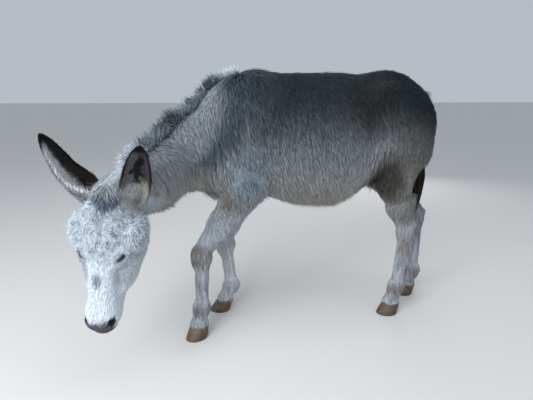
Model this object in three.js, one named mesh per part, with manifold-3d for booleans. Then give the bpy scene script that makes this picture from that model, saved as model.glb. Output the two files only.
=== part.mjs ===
// A life-size standing donkey with its head lowered and turned to its left, as a museum would
// show it. Millimetres. +Z is up, the floor is z = 0, the head end is -X, and the animal's left
// side is -Y. Flesh is one smooth field of rounded forms (rods and balls melted together). The
// field is meshed region by region, parted by thin flat cuts into trunk, neck, head and legs, and
// dressed with lofted ears, hooves, mane and tail. All sizes reach out to the tips of the coat.
import * as THREE from "three";
import { mergeVertices } from "three/addons/utils/BufferGeometryUtils.js";
import Module from "manifold-3d";

const wasm = await Module();
wasm.setup();
const { Manifold, Mesh: SolidMesh } = wasm;

// ---- Driving dimensions ------------------------------------------------------------------
const WITHERS = 1080; // height of the withers over the floor
const TRUNK = 1050; // breast to buttock
const CHEST_HALF = 178; // half the width over the shoulders
const BELLY_HALF = 236; // half the width over the belly
const HIP_HALF = 192; // half the width over the haunches
const HEAD = 480; // poll to the end of the nose
const HEAD_TURN = 256; // heading of the face in plan, degrees from +X (180 is straight ahead)
const NOSE_OUT = 10; // how far the nose stands forward of hanging plumb, degrees
const HEAD_TILT = -4; // lean of the face to one side, degrees
const EAR = 252; // length of an ear
const EAR_HALF = 51; // half its width at the widest
const EYE = 19; // radius of an eyeball
const HOOF_HEIGHT = 52;
const MANE_HEIGHT = 46;
const MANE_HALF = 17; // half the mane's width
const GAP = 0.4; // clearance left by every cut between two nodes

// ---- Small vector helpers ----------------------------------------------------------------
const v = (x, y, z) => new THREE.Vector3(x, y, z);
const mix = (a, b, t) => a + (b - a) * t;
const smooth = (t) => t * t * (3 - 2 * t);
const rad = THREE.MathUtils.degToRad;
const UP = v(0, 0, 1);
const SIDE = v(0, 1, 0);

// ---- Forms of the field --------------------------------------------------------------------
// Each form returns its signed distance to a point, and melts into the rest over `blend` mm.
const forms = [];

// A rod from a to b whose radius runs from ra to rb. `flat` narrows it along the axis `across`.
function rod(a, b, ra, rb, blend, flat = 1, across = SIDE) {
  const along = b.clone().sub(a);
  const lengthSq = along.lengthSq() || 1;
  const side = across.clone().normalize();
  const q = v(0, 0, 0);
  forms.push({
    blend,
    distance(p) {
      const t = Math.min(1, Math.max(0, q.copy(p).sub(a).dot(along) / lengthSq));
      q.copy(p).sub(a).addScaledVector(along, -t);
      const straight = q.length();
      q.addScaledVector(side, q.dot(side) * (1 / flat - 1));
      const length = q.length() || 1e-6;
      return (length - mix(ra, rb, t)) * (straight / length || flat);
    },
  });
}

// An ellipsoid with its three radii along the axes of `frame`.
function ball(centre, radii, blend, frame = WORLD) {
  const [ex, ey, ez] = frame.axes;
  const q = v(0, 0, 0);
  forms.push({
    blend,
    distance(p) {
      q.copy(p).sub(centre);
      const x = q.dot(ex), y = q.dot(ey), z = q.dot(ez);
      const k0 = Math.hypot(x / radii[0], y / radii[1], z / radii[2]);
      const k1 = Math.hypot(x / radii[0] ** 2, y / radii[1] ** 2, z / radii[2] ** 2);
      return k1 > 1e-9 ? (k0 * (k0 - 1)) / k1 : -Math.min(...radii);
    },
  });
}

// The field: every form melted into the ones before it.
function field(p) {
  let d = 1e4;
  for (const form of forms) {
    const e = form.distance(p);
    const h = Math.max(form.blend - Math.abs(d - e), 0) / form.blend;
    d = Math.min(d, e) - h * h * form.blend * 0.25;
  }
  return d;
}

// A frame gives places and directions from its own axes and origin.
function makeFrame(origin, ex, ey, ez) {
  return {
    origin,
    axes: [ex, ey, ez],
    at: (x, y, z) =>
      origin.clone().addScaledVector(ex, x).addScaledVector(ey, y).addScaledVector(ez, z),
  };
}
const WORLD = makeFrame(v(0, 0, 0), v(1, 0, 0), v(0, 1, 0), v(0, 0, 1));

// ---- Trunk -----------------------------------------------------------------------------------
const BREAST_X = -600; // front of the breast
const BUTTOCK_X = BREAST_X + TRUNK;
const CHEST_DEPTH = 242; // half the mean depth of the rib cage

function shapeTrunk() {
  const narrow = (CHEST_HALF + 27) / CHEST_DEPTH; // the barrel swells behind the shoulders
  rod(v(-330, 0, 820), v(12, 0, 821), CHEST_DEPTH - 4, CHEST_DEPTH - 3, 1, narrow); // rib cage
  ball(v(-60, 0, 762), [302, BELLY_HALF, 226], 60); // belly
  ball(v(-345, 0, 905), [140, 105, WITHERS - 905], 60); // withers
  rod(v(-300, 0, 960), v(250, 0, 975), 105, 100, 70, 0.95); // back and loin
  ball(v(255, 0, 890), [205, HIP_HALF - 16, 200], 60); // croup
  ball(v(-478, 0, 722), [118, 135, 138], 60); // breast
  for (const s of [-1, 1]) {
    rod(v(-375, s * 75, 985), v(-500, s * 112, 740), 78, 88, 50, 0.72); // shoulder blade
    rod(v(-500, s * 112, 732), v(-392, s * 118, 650), 80, 82, 50, 0.78); // upper arm
    ball(v(300, s * 82, 850), [BUTTOCK_X - 308, HIP_HALF - 84, 175], 50); // haunch
    ball(v(205, s * 118, 985), [48, 34, 40], 60); // point of hip
    ball(v(395, s * 62, 850), [52, 60, 100], 50); // buttock
    ball(v(172, s * 122, 728), [80, 60, 86], 60); // flank and stifle fold
  }
}

// ---- Legs --------------------------------------------------------------------------------------
// Each leg is a chain of joints in the animal's own plan, given for the pose.
const LEGS = {
  fore_left: { side: -1, hind: false, elbow: v(-392, -105, 600), knee: v(-557, -88, 327),
    fetlock: v(-566, -108, 128), hoof: v(-586, -124, 0) },
  fore_right: { side: 1, hind: false, elbow: v(-400, 105, 600), knee: v(-440, 92, 315),
    fetlock: v(-420, 92, 128), hoof: v(-468, 94, 0) },
  hind_left: { side: -1, hind: true, stifle: v(265, -118, 645), hock: v(356, -88, 400),
    fetlock: v(330, -84, 132), hoof: v(298, -86, 0) },
  hind_right: { side: 1, hind: true, stifle: v(310, 118, 645), hock: v(510, 88, 405),
    fetlock: v(508, 84, 132), hoof: v(474, 86, 0) },
};

// Fetlock, pastern and the soft band over the hoof, alike on all four legs.
function shapeFoot({ fetlock, hoof }) {
  const toe = hoof.clone().sub(fetlock).setZ(0).normalize();
  const coronet = coronetOf({ fetlock, hoof });
  ball(fetlock.clone().addScaledVector(toe, -4), [36, 32, 34], 20); // fetlock
  rod(fetlock, coronet, 30, 36, 20); // pastern
  const ergot = fetlock.clone().addScaledVector(toe, -24);
  rod(ergot, ergot.clone().setZ(98), 15, 10, 18); // tuft behind the fetlock
  rod(coronet, coronet.clone().addScaledVector(UP, -30), 39, 41, 12); // coronet
}

// The middle of the band where skin meets hoof.
const coronetOf = ({ fetlock, hoof }) =>
  fetlock.clone().lerp(hoof, 1 - HOOF_HEIGHT / fetlock.z).setZ(HOOF_HEIGHT);

function shapeForeleg(leg) {
  const { elbow, knee, fetlock, side } = leg;
  const mid = elbow.clone().lerp(knee, 0.42);
  rod(elbow.clone().add(v(20, side * 8, 40)), mid, 88, 60, 50, 0.85); // elbow and upper forearm
  rod(mid, knee.clone().add(v(0, 0, 40)), 60, 38, 40, 0.9); // forearm
  ball(knee.clone().add(v(-3, 0, 6)), [43, 40, 52], 26); // knee
  ball(knee.clone().add(v(26, 0, 12)), [18, 18, 24], 20); // bone behind the knee
  rod(knee, fetlock, 31, 26, 22, 0.88); // cannon
  rod(knee.clone().add(v(14, 0, -20)), fetlock.clone().add(v(12, 0, 12)), 17, 18, 14, 0.8); // tendons
  shapeFoot(leg);
}

function shapeHindleg(leg) {
  const { stifle, hock, fetlock, side } = leg;
  const gaskin = stifle.clone().lerp(hock, 0.5);
  rod(stifle.clone().add(v(40, 0, 120)), stifle, 112, 82, 60, 0.76); // thigh
  rod(stifle, gaskin, 81, 58, 50, 0.8); // upper gaskin
  rod(gaskin, hock.clone().add(v(-12, 0, 20)), 58, 36, 36, 0.82); // lower gaskin
  rod(gaskin.clone().add(v(52, 0, 40)), hock.clone().add(v(26, 0, 34)), 22, 15, 30, 0.7); // hamstring
  rod(hock.clone().add(v(28, 0, 30)), hock.clone().add(v(14, 0, -20)), 19, 22, 16, 0.85); // point of hock
  ball(hock.clone().add(v(-6, 0, -8)), [36, 36, 46], 24); // hock
  rod(hock, fetlock, 31, 26, 24, 0.86); // cannon
  rod(hock.clone().add(v(16, 0, -20)), fetlock.clone().add(v(14, 0, 12)), 18, 17, 14, 0.8); // tendons
  shapeFoot(leg);
}

// ---- Neck and head ------------------------------------------------------------------------------
const POLL = v(-864, -402, 705); // top of the skull between the ears

// The sum of two directions at right angles, turned `degrees` from the first to the second.
const turned = (first, second, degrees) =>
  first.clone().multiplyScalar(Math.cos(rad(degrees))).addScaledVector(second, Math.sin(rad(degrees)));

// The head's own frame at the poll: x down the nose, y to the animal's left, z out of the face.
const headFrame = (() => {
  const heading = turned(v(1, 0, 0), v(0, 1, 0), HEAD_TURN);
  const left = UP.clone().cross(heading);
  const down = turned(v(0, 0, -1), heading, NOSE_OUT);
  const face = down.clone().cross(left);
  return makeFrame(POLL, turned(down, left, HEAD_TILT), turned(left, down, -HEAD_TILT), face);
})();

// Stations of the neck from the withers to the poll: half its depth and half its width.
const NECK = [
  { at: v(-410, 0, 880), depth: 150, half: 105 },
  { at: v(-590, -90, 772), depth: 128, half: 88 },
  { at: v(-715, -235, 707), depth: 106, half: 74 },
  { at: v(-808, -338, 657), depth: 92, half: 70 },
];

function shapeNeck() {
  for (let i = 0; i + 1 < NECK.length; i++) {
    const a = NECK[i], b = NECK[i + 1];
    const across = b.at.clone().sub(a.at).cross(UP);
    rod(a.at, b.at, a.depth, b.depth, 70, (a.half + b.half) / (a.depth + b.depth), across);
  }
}

function shapeHead() {
  const h = headFrame;
  const [nose, cheek] = h.axes;
  const k = HEAD / 480; // the numbers below are for a head 480 mm long
  const at = (x, y, z) => h.at(x * k, y * k, z * k);
  const blob = (x, y, z, rx, ry, rz, blend) => ball(at(x, y, z), [rx * k, ry * k, rz * k], blend, h);
  blob(58, 0, -84, 86, 90, 80, 60); // brain case
  blob(135, 0, -82, 108, 108, 82, 40); // forehead
  rod(at(190, 0, -64), at(395, 0, -62), 62, 44, 40, 0.96, cheek); // bridge of the nose
  rod(at(70, 0, -125), at(190, 0, -150), 84, 74, 40, 0.76, cheek); // throat
  blob(172, 0, -156, 106, 108, 92, 36); // cheeks
  rod(at(190, 0, -150), at(400, 0, -104), 84, 49, 40, 0.96, cheek); // jaws
  blob(415, 0, -70, 52, 52, 50, 34); // muzzle
  blob(452, 0, -82, 28, 33, 34, 24); // upper lip
  blob(430, 0, -122, 34, 32, 24, 16); // lower lip and chin
  for (const s of [-1, 1]) {
    blob(134, s * 93, -78, 56, 37, 52, 36); // brow and temple
    blob(206, s * 58, -56, 42, 30, 36, 24); // rim of the eye socket
    rod(at(225, s * 66, -92), at(325, s * 44, -94), 30, 22, 26, 1, nose); // facial crest
    blob(256, s * 56, -128, 74, 36, 58, 30); // chewing muscle
    blob(436, s * 30, -58, 21, 18, 20, 18); // nostril
  }
}

shapeTrunk();
shapeNeck();
for (const leg of Object.values(LEGS)) (leg.hind ? shapeHindleg : shapeForeleg)(leg);
shapeHead();

// ---- Meshing the field ---------------------------------------------------------------------------
// Moves p onto the surface where the field equals `level`, down the field's own slope.
function settle(p, level) {
  const step = 2;
  for (let i = 0; i < 4; i++) {
    const d = field(p) - level;
    const slope = v(
      field(v(p.x + step, p.y, p.z)) - field(v(p.x - step, p.y, p.z)),
      field(v(p.x, p.y + step, p.z)) - field(v(p.x, p.y - step, p.z)),
      field(v(p.x, p.y, p.z + step)) - field(v(p.x, p.y, p.z - step)),
    ).divideScalar(2 * step);
    p.addScaledVector(slope, -d / Math.max(slope.lengthSq(), 0.2));
  }
  return p;
}

// The twelve edges of a grid cell are numbered axis * 4 + (offset along the next axis) + 2 * (offset
// along the one after). This lists the corners of each face with the two edges that meet there.
const FACE_CORNERS = [0, 1, 2].flatMap((f) => [0, 1].map((s) => [0, 1, 2, 3].map((corner) => {
  const u = (f + 1) % 3, w = (f + 2) % 3, atU = corner & 1, atW = corner >> 1;
  const offset = [0, 0, 0];
  offset[f] = s;
  offset[u] = atU;
  offset[w] = atW;
  return { offset, edges: [u * 4 + (atW | (s << 1)), w * 4 + (s | (atU << 1))] };
})));

// Groups a cell's crossed edges into the separate sheets of surface that pass through it.
function sheetsOf(crossed, insideAt) {
  const leader = [...Array(12).keys()];
  const find = (e) => (leader[e] === e ? e : find(leader[e]));
  for (const corners of FACE_CORNERS) {
    const hit = [...new Set(corners.flatMap((c) => c.edges))].filter((e) => crossed[e]);
    if (hit.length === 2) leader[find(hit[0])] = find(hit[1]);
    if (hit.length === 4)
      for (const { offset, edges } of corners) if (insideAt(offset)) leader[find(edges[0])] = find(edges[1]);
  }
  return leader.map((_, e) => (crossed[e] ? find(e) : -1));
}

// Grid lines from `low` to `high`, spaced by a number or by a function of place.
function gridLines(low, high, spacing) {
  const lines = [low];
  while (lines.at(-1) < high) {
    const last = lines.at(-1);
    lines.push(last + (typeof spacing === "function" ? spacing(last) : spacing));
  }
  return lines;
}

// Dual contouring of the field on the grid lines of a frame: each sheet of surface in a grid cell
// gets one vertex, and each crossed grid edge one quad. The grid's outermost layer counts as
// outside, which closes the solid.
function meshField(frame, lines, level = 0) {
  const n = lines.map((line) => line.length);
  const place = (i, j, k) => frame.at(lines[0][i], lines[1][j], lines[2][k]);
  const index = (i, j, k) => (k * n[1] + j) * n[0] + i;
  const onRim = (i, j, k) => i * j * k === 0 || i === n[0] - 1 || j === n[1] - 1 || k === n[2] - 1;
  const cells = [];
  const value = new Float32Array(n[0] * n[1] * n[2]);
  for (let k = 0; k < n[2]; k++)
    for (let j = 0; j < n[1]; j++)
      for (let i = 0; i < n[0]; i++) {
        const d = field(place(i, j, k)) - level;
        value[index(i, j, k)] = onRim(i, j, k) ? Math.max(d, 1) : d;
        if (i + 1 < n[0] && j + 1 < n[1] && k + 1 < n[2]) cells.push([i, j, k]);
      }
  const vertices = [];
  const vertexOf = new Int32Array(value.length * 12).fill(-1);
  for (const [i, j, k] of cells) {
    const crossings = Array(12).fill(null);
    for (let e = 0; e < 12; e++) {
      const axis = e >> 2, a = [i, j, k];
      a[(axis + 1) % 3] += e & 1;
      a[(axis + 2) % 3] += (e >> 1) & 1;
      const b = [...a];
      b[axis] += 1;
      const va = value[index(...a)], vb = value[index(...b)];
      if (va < 0 !== vb < 0) crossings[e] = place(...a).lerp(place(...b), va / (va - vb));
    }
    if (crossings.every((c) => !c)) continue;
    const sheet = sheetsOf(crossings, ([x, y, z]) => value[index(i + x, j + y, k + z)] < 0);
    const inner = i > 0 && j > 0 && k > 0 && i + 2 < n[0] && j + 2 < n[1] && k + 2 < n[2];
    const reach = 0.75 * Math.min(...[i, j, k].map((c, axis) => lines[axis][c + 1] - lines[axis][c]));
    for (const id of new Set(sheet.filter((s) => s >= 0))) {
      const own = crossings.filter((_, e) => sheet[e] === id);
      const centre = own.reduce((sum, p) => sum.add(p), v(0, 0, 0)).divideScalar(own.length);
      const settled = inner ? settle(centre.clone(), level) : centre;
      sheet.forEach((s, e) => {
        if (s === id) vertexOf[index(i, j, k) * 12 + e] = vertices.length;
      });
      vertices.push(settled.distanceTo(centre) < reach ? settled : centre);
    }
  }
  const faces = [];
  for (const [i, j, k] of cells)
    for (let axis = 0; axis < 3; axis++) {
      const b = [i, j, k];
      if (b[(axis + 1) % 3] === 0 || b[(axis + 2) % 3] === 0) continue;
      b[axis] += 1;
      const inside = value[index(i, j, k)] < 0;
      if (inside === value[index(...b)] < 0) continue;
      const ring = [[1, 1], [0, 1], [0, 0], [1, 0]].map(([back, below]) => {
        const c = [i, j, k];
        c[(axis + 1) % 3] -= back;
        c[(axis + 2) % 3] -= below;
        return vertexOf[index(...c) * 12 + axis * 4 + (back | (below << 1))];
      });
      if (!inside) ring.reverse();
      const [p0, p1, p2, p3] = ring.map((c) => vertices[c]);
      const turn = p0.distanceToSquared(p2) > p1.distanceToSquared(p3) ? 1 : 0;
      for (const corner of [0, 1, 2, 0, 2, 3]) faces.push(ring[(corner + turn) % 4]);
    }
  return makeSolid(new Float32Array(vertices.flatMap((p) => p.toArray())), new Uint32Array(faces));
}

// ---- Solids and meshes -------------------------------------------------------------------------
const makeSolid = (vertProperties, triVerts) =>
  new Manifold(new SolidMesh({ numProp: 3, vertProperties, triVerts }));

// A three.js geometry, moved to its place, as a solid.
function solidOf(geometry, matrix = new THREE.Matrix4()) {
  const g = geometry.clone().applyMatrix4(matrix);
  g.deleteAttribute("normal");
  g.deleteAttribute("uv");
  const merged = mergeVertices(g, 1e-3);
  return makeSolid(merged.attributes.position.array, new Uint32Array(merged.index.array));
}

// A closed loft through rings of equal point counts, with flat ends.
function loft(rings) {
  const m = rings[0].length;
  const points = rings.flat();
  const faces = [];
  for (let r = 0; r + 1 < rings.length; r++)
    for (let i = 0; i < m; i++) {
      const a = r * m + i, b = r * m + ((i + 1) % m);
      faces.push(a, b, b + m, a, b + m, a + m);
    }
  const last = (rings.length - 1) * m;
  for (const [ring, base, turned] of [[rings[0], 0, true], [rings.at(-1), last, false]]) {
    const centre = ring.reduce((sum, p) => sum.add(p), v(0, 0, 0)).divideScalar(m);
    const hub = points.push(centre) - 1;
    for (let i = 0; i < m; i++) {
      const a = base + i, b = base + ((i + 1) % m);
      faces.push(hub, ...(turned ? [b, a] : [a, b]));
    }
  }
  const solid = makeSolid(new Float32Array(points.flatMap((p) => p.toArray())), new Uint32Array(faces));
  return solid.volume() > 0 ? solid : loft(rings.map((ring) => [...ring].reverse()));
}

// A block of space bounded by planes, each plane given by a point on it and its outward direction.
// `grow` moves every plane outwards.
function region(planes, grow) {
  let block = solidOf(new THREE.BoxGeometry(4000, 4000, 4000));
  for (const [point, out] of planes) {
    const inward = out.clone().normalize().negate();
    block = block.trimByPlane(inward.toArray(), inward.dot(point) - grow);
  }
  return block;
}

// The biggest connected body of a solid, without crumbs left by a cut.
const largest = (solid) => solid.decompose().reduce((a, b) => (a.volume() > b.volume() ? a : b));

// ---- Where the body is cut --------------------------------------------------------------------
// A cut is a point on its plane and the direction it faces. The neck begins on a plane from the
// withers down to the point of the breast, the head on one from the poll down behind the jaw.
const neckBase = [v(-395, 0, WITHERS), v(-0.84, -0.25, 0.48).normalize()];
const throat = [
  headFrame.at(-5, 0, -75),
  headFrame.axes[0].clone().multiplyScalar(0.72).addScaledVector(headFrame.axes[2], 0.69),
];
const behind = ([point, out]) => [point, out.clone().negate()];

// How a leg's block of space lies round the root of the leg: how far the slanting top is over the
// elbow or stifle and which way it faces, how far ahead the front plane is and its direction, and
// how far back the block goes.
const FORE_BLOCK = { rise: 42, top: v(-0.42, 0, 1), ahead: 260, front: v(-1, 0, 0), back: 125 };
const HIND_BLOCK = { rise: 40, top: v(0.34, 0, 1), ahead: 135, front: v(-1, 0, -0.2), back: 400 };
const MIDDLE_CLEARANCE = 8; // between a leg's block and the middle of the body

// The planes over and around one leg, without the one under it.
function legSides({ side, hind, stifle, elbow }) {
  const block = hind ? HIND_BLOCK : FORE_BLOCK;
  const root = (hind ? stifle : elbow).clone().add(v(0, 0, block.rise));
  return [
    [root, block.top],
    [v(0, side * MIDDLE_CLEARANCE, 0), v(0, -side, 0)],
    [root.clone().add(v(-block.ahead, 0, 0)), block.front],
    [root.clone().add(v(block.back, 0, 0)), v(1, 0, 0)],
  ];
}
const legBlock = (leg) => [...legSides(leg), [coronetOf(leg), v(0, 0, -1)]];

// ---- Ears -----------------------------------------------------------------------------------
// Each ear rises towards a place in space and turns its hollow towards `opening`.
const EARS = {
  left: { side: 1, towards: v(-728, -505, 845), opening: v(-0.07, -0.81, -0.57) },
  right: { side: -1, towards: v(-1013, -422, 882), opening: v(0.75, -0.6, 0.3) },
};
const EAR_ROOTED = 20; // length of an ear inside the head
const EAR_STATIONS = [0, 0.14, 0.29, 0.44, 0.59, 0.74, 0.87, 0.95, 1]; // shares of its length
const EAR_WALL = 9; // thickness at the root
const EAR_RIM = 5; // thickness at the tip, and half the width there
const ROOT_WRAP = 150; // half the angle that the wall goes round at the root, degrees
const LEAF_WRAP = 68; // half the angle above the middle of the ear

// A cupped leaf: at each station along the ear the section is an arc, wrapped almost into a tube
// at the root and open higher up, drawn twice a wall's thickness apart.
function makeEar({ side, towards, opening }) {
  const root = headFrame.at(20, side * 78, -80);
  const axis = towards.clone().sub(root).normalize();
  const open = opening.clone().addScaledVector(axis, -opening.dot(axis)).normalize();
  const across = axis.clone().cross(open);
  const arcSteps = 5;
  const rings = [];
  for (const t of EAR_STATIONS) {
    const leaf = Math.pow(Math.sin(Math.PI * Math.pow(mix(0.16, 1, t), 0.72)), 0.55);
    const half = mix(EAR_RIM - 2, EAR_HALF, leaf * mix(0.72, 1, smooth(Math.min(1, 2.5 * t))));
    const wrap = rad(mix(ROOT_WRAP, LEAF_WRAP, smooth(Math.min(1, 2 * t))));
    const radius = half / Math.sin(Math.min(wrap, Math.PI / 2));
    const inner = Math.max(radius - mix(EAR_WALL, EAR_RIM, t), radius * 0.35);
    const bow = radius * 0.62 - 18 * Math.sin(Math.PI * t);
    const centre = root.clone().addScaledVector(axis, mix(-EAR_ROOTED, EAR, t)).addScaledVector(open, bow);
    const arc = (r, angle) =>
      centre.clone().addScaledVector(open, -r * Math.cos(angle)).addScaledVector(across, r * Math.sin(angle));
    const angles = Array.from({ length: arcSteps + 1 }, (_, a) => mix(-wrap, wrap, a / arcSteps));
    rings.push([...angles.map((a) => arc(radius, a)), ...angles.reverse().map((a) => arc(inner, a))]);
  }
  return loft(rings);
}

// ---- Hooves ---------------------------------------------------------------------------------
// Sections of a hoof from the sole up: half length, half width and how far it stands forward.
const HOOF_SECTIONS = [
  { z: 0, length: 52, half: 41, forward: 2 },
  { z: HOOF_HEIGHT - 10, length: 43, half: 40, forward: -3 },
  { z: HOOF_HEIGHT - GAP, length: 41, half: 38, forward: -4 },
];

// A steep narrow hoof: a flat sole, a wall that slopes to the coronet and a flatter heel.
function makeHoof(leg) {
  const toe = leg.hoof.clone().sub(leg.fetlock).setZ(0).normalize();
  const across = toe.clone().cross(UP);
  const points = 14, heel = 0.84;
  return loft(HOOF_SECTIONS.map(({ z, length, half, forward }) => {
    const centre = leg.hoof.clone().lerp(coronetOf(leg), z / HOOF_HEIGHT).setZ(z)
      .addScaledVector(toe, forward);
    return Array.from({ length: points }, (_, i) => {
      const angle = (2 * Math.PI * i) / points;
      const reach = length * Math.cos(angle) * (Math.cos(angle) < 0 ? heel : 1);
      return centre.clone().addScaledVector(toe, reach).addScaledVector(across, half * Math.sin(angle));
    });
  }));
}

// ---- Mane and tail ------------------------------------------------------------------------------
// A ridge of hair along a curve: a rounded section of half width `half` that stands `height` high.
function ridge(curve, up, height, half, steps, points) {
  const rings = [];
  for (let i = 0; i <= steps; i++) {
    const t = i / steps;
    const along = curve.getTangent(t);
    const side = along.clone().cross(up).normalize();
    const lift = side.clone().cross(along).normalize();
    rings.push(Array.from({ length: points }, (_, k) => {
      const angle = (2 * Math.PI * k) / points;
      return curve.getPoint(t).addScaledVector(side, half(t) * Math.sin(angle))
        .addScaledVector(lift, height(t) * Math.cos(angle));
    }));
  }
  return loft(rings);
}

// The mane follows the crest of the neck, from the withers to the forehead between the ears.
const crestOf = ({ at, depth }, slope) => at.clone().addScaledVector(slope, depth * 0.93);
const crest = new THREE.CatmullRomCurve3([
  v(-372, 0, WITHERS - 26),
  crestOf(NECK[0], v(-0.42, -0.04, 0.9)),
  crestOf(NECK[1], v(-0.2, -0.1, 0.97)),
  crestOf(NECK[2], v(-0.16, -0.2, 0.96)),
  crestOf(NECK[3], v(-0.1, -0.2, 0.97)),
  headFrame.at(-14, 0, -52),
  headFrame.at(4, 0, -6),
]);
const maneHeight = (t) => MANE_HEIGHT * mix(0.43, 1, Math.pow(Math.sin(Math.PI * mix(0.06, 0.9, t)), 0.6));
const makeMane = () => ridge(crest, UP, maneHeight, () => MANE_HALF, 10, 6);

// The fleshy dock hangs down the buttocks, and the long hair of the switch from its end.
const DOCK_TOP = v(BUTTOCK_X - 22, 0, 985);
const SWITCH_TOP = 690; // height where the dock ends
const SWITCH_END = 430; // height of the tail's lowest hair
const overJoin = SWITCH_TOP + 10;
const dockLine = new THREE.CatmullRomCurve3([
  DOCK_TOP.clone().add(v(-60, 0, 30)),
  DOCK_TOP,
  v(BUTTOCK_X + 8, 0, 900),
  v(BUTTOCK_X + 6, 0, 780),
  v(BUTTOCK_X, 0, SWITCH_TOP - 10),
]);
const switchLine = new THREE.CatmullRomCurve3([
  v(BUTTOCK_X, 0, overJoin),
  v(BUTTOCK_X - 4, -2, mix(overJoin, SWITCH_END, 0.33)),
  v(BUTTOCK_X - 10, -4, mix(overJoin, SWITCH_END, 0.67)),
  v(BUTTOCK_X - 16, -6, SWITCH_END),
]);
const REAR = v(1, 0, 0);
const dockThick = (t) => mix(32, 19, t);
const switchThick = (t, fullness) => 20 + fullness * Math.sin(Math.PI * mix(0.05, 0.95, t)) - 14 * t ** 3;
const makeDock = () => ridge(dockLine, REAR, dockThick, (t) => dockThick(t) * 1.06, 9, 8);
const makeSwitch = () => ridge(switchLine, REAR, (t) => switchThick(t, 12), (t) => switchThick(t, 16), 8, 10);

// ---- Building the nodes ------------------------------------------------------------------------
const COLOURS = {
  coat: { color: 0xb9bcbf, roughness: 0.95, metalness: 0 },
  pale: { color: 0xd3d6d8, roughness: 0.95, metalness: 0 },
  ear: { color: 0x8d8780, roughness: 0.95, metalness: 0 },
  mane: { color: 0x8f979c, roughness: 0.95, metalness: 0 },
  switch: { color: 0x2e2926, roughness: 0.9, metalness: 0 },
  horn: { color: 0x5d4b3e, roughness: 0.6, metalness: 0 },
  eye: { color: 0x14100e, roughness: 0.12, metalness: 0 },
};
const donkey = new THREE.Group();

// Adds a solid to the group as a mesh of its own, with the named finish.
function addNode(name, solid, finish) {
  const { vertProperties, triVerts, numProp } = largest(solid).getMesh();
  const positions = new Float32Array((vertProperties.length / numProp) * 3);
  for (let i = 0; i < positions.length / 3; i++)
    positions.set(vertProperties.subarray(i * numProp, i * numProp + 3), i * 3);
  const geometry = new THREE.BufferGeometry()
    .setAttribute("position", new THREE.BufferAttribute(positions, 3))
    .setIndex(new THREE.BufferAttribute(triVerts, 1));
  geometry.computeVertexNormals();
  const mesh = new THREE.Mesh(geometry, new THREE.MeshStandardMaterial(COLOURS[finish]));
  mesh.name = name;
  donkey.add(mesh);
}

// Grid lines on both sides of zero.
const bothSides = (reach, step) => gridLines(-Math.ceil(reach / step) * step, reach, step);

// The grid of each region. Cells are long where the shape runs straight, as along the barrel and
// the shins, and short round the joints of the legs and on the head.
const barrelStep = (x) => (x > -330 && x < 90 ? 96 : 50);
const JOINT_HEIGHTS = [75, 130, 330, 400];
const legStep = (z) => (JOINT_HEIGHTS.some((joint) => Math.abs(z - joint) < 45) ? 32 : 60);
const trunkGrid = [gridLines(-700, 540, barrelStep), bothSides(300, 50), gridLines(440, 1140, 48)];
const neckGrid = [gridLines(-960, -350, 46), gridLines(-480, 180, 44), gridLines(470, 1140, 46)];
const headGrid = [gridLines(-90, 520, 25), bothSides(160, 21), gridLines(-290, 40, 21)];
function legGrid(leg) {
  const { min, max } = new THREE.Box3().setFromPoints(Object.values(leg).filter((p) => p.isVector3));
  return [
    gridLines(min.x - 210, max.x + 190, 28), gridLines(min.y - 110, max.y + 110, 25),
    gridLines(15, 800, legStep),
  ];
}

const eyeSolid = (side, radius) =>
  solidOf(new THREE.SphereGeometry(radius, 12, 7),
    new THREE.Matrix4().setPosition(headFrame.at(212, side * 60, -36)));

const CLEAR = GAP + 1; // how far dressed-on pieces stay off the flesh they lie on
const clearTrunk = meshField(WORLD, trunkGrid, CLEAR);
const clearNeck = meshField(WORLD, neckGrid, CLEAR);
const clearHead = meshField(headFrame, headGrid, CLEAR);

let trunk = meshField(WORLD, trunkGrid).subtract(region([behind(neckBase)], GAP / 2));
for (const leg of Object.values(LEGS)) trunk = trunk.subtract(region(legSides(leg), GAP / 2));
addNode("trunk", trunk, "coat");

addNode("neck", meshField(WORLD, neckGrid).intersect(region([behind(neckBase), throat], -GAP / 2)), "coat");

let head = meshField(headFrame, headGrid).intersect(region([behind(throat)], -GAP / 2));
for (const { side } of Object.values(EARS)) head = head.subtract(eyeSolid(side, EYE + GAP));
addNode("head", head, "pale");

for (const [name, leg] of Object.entries(LEGS)) {
  addNode("leg_" + name, meshField(WORLD, legGrid(leg)).intersect(region(legBlock(leg), -GAP / 2)), "coat");
  addNode("hoof_" + name, makeHoof(leg), "horn");
}

for (const [name, ear] of Object.entries(EARS)) {
  addNode("ear_" + name, makeEar(ear).subtract(clearHead).subtract(clearNeck), "ear");
  addNode("eye_" + name, eyeSolid(ear.side, EYE), "eye");
}

const overSwitch = region([[v(0, 0, SWITCH_TOP), v(0, 0, -1)]], -GAP / 2);
const underDock = region([[v(0, 0, SWITCH_TOP), UP]], -GAP / 2);
addNode("mane", makeMane().subtract(clearNeck).subtract(clearTrunk).subtract(clearHead), "mane");
addNode("tail_dock", makeDock().intersect(overSwitch).subtract(clearTrunk), "coat");
addNode("tail_switch", makeSwitch().intersect(underDock), "switch");

// The part's origin is on the floor under the middle of its bounding box.
const bounds = new THREE.Box3().setFromObject(donkey);
const middle = bounds.getCenter(v(0, 0, 0));
donkey.position.set(-middle.x, -middle.y, -bounds.min.z);

export default donkey;
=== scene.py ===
# %% [markdown]
# # A grey donkey with its head lowered
#
# This lesson dresses the plain solids of a donkey in skin, hair and horn. The solids give every
# size: each piece below stands where they stand, and only tips of hair reach past their box. The
# work goes from the inside out: one skin, then eyes and lids, hooves and ears, and last the hair,
# which is made of many thin locks of solid mesh.

import math

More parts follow.
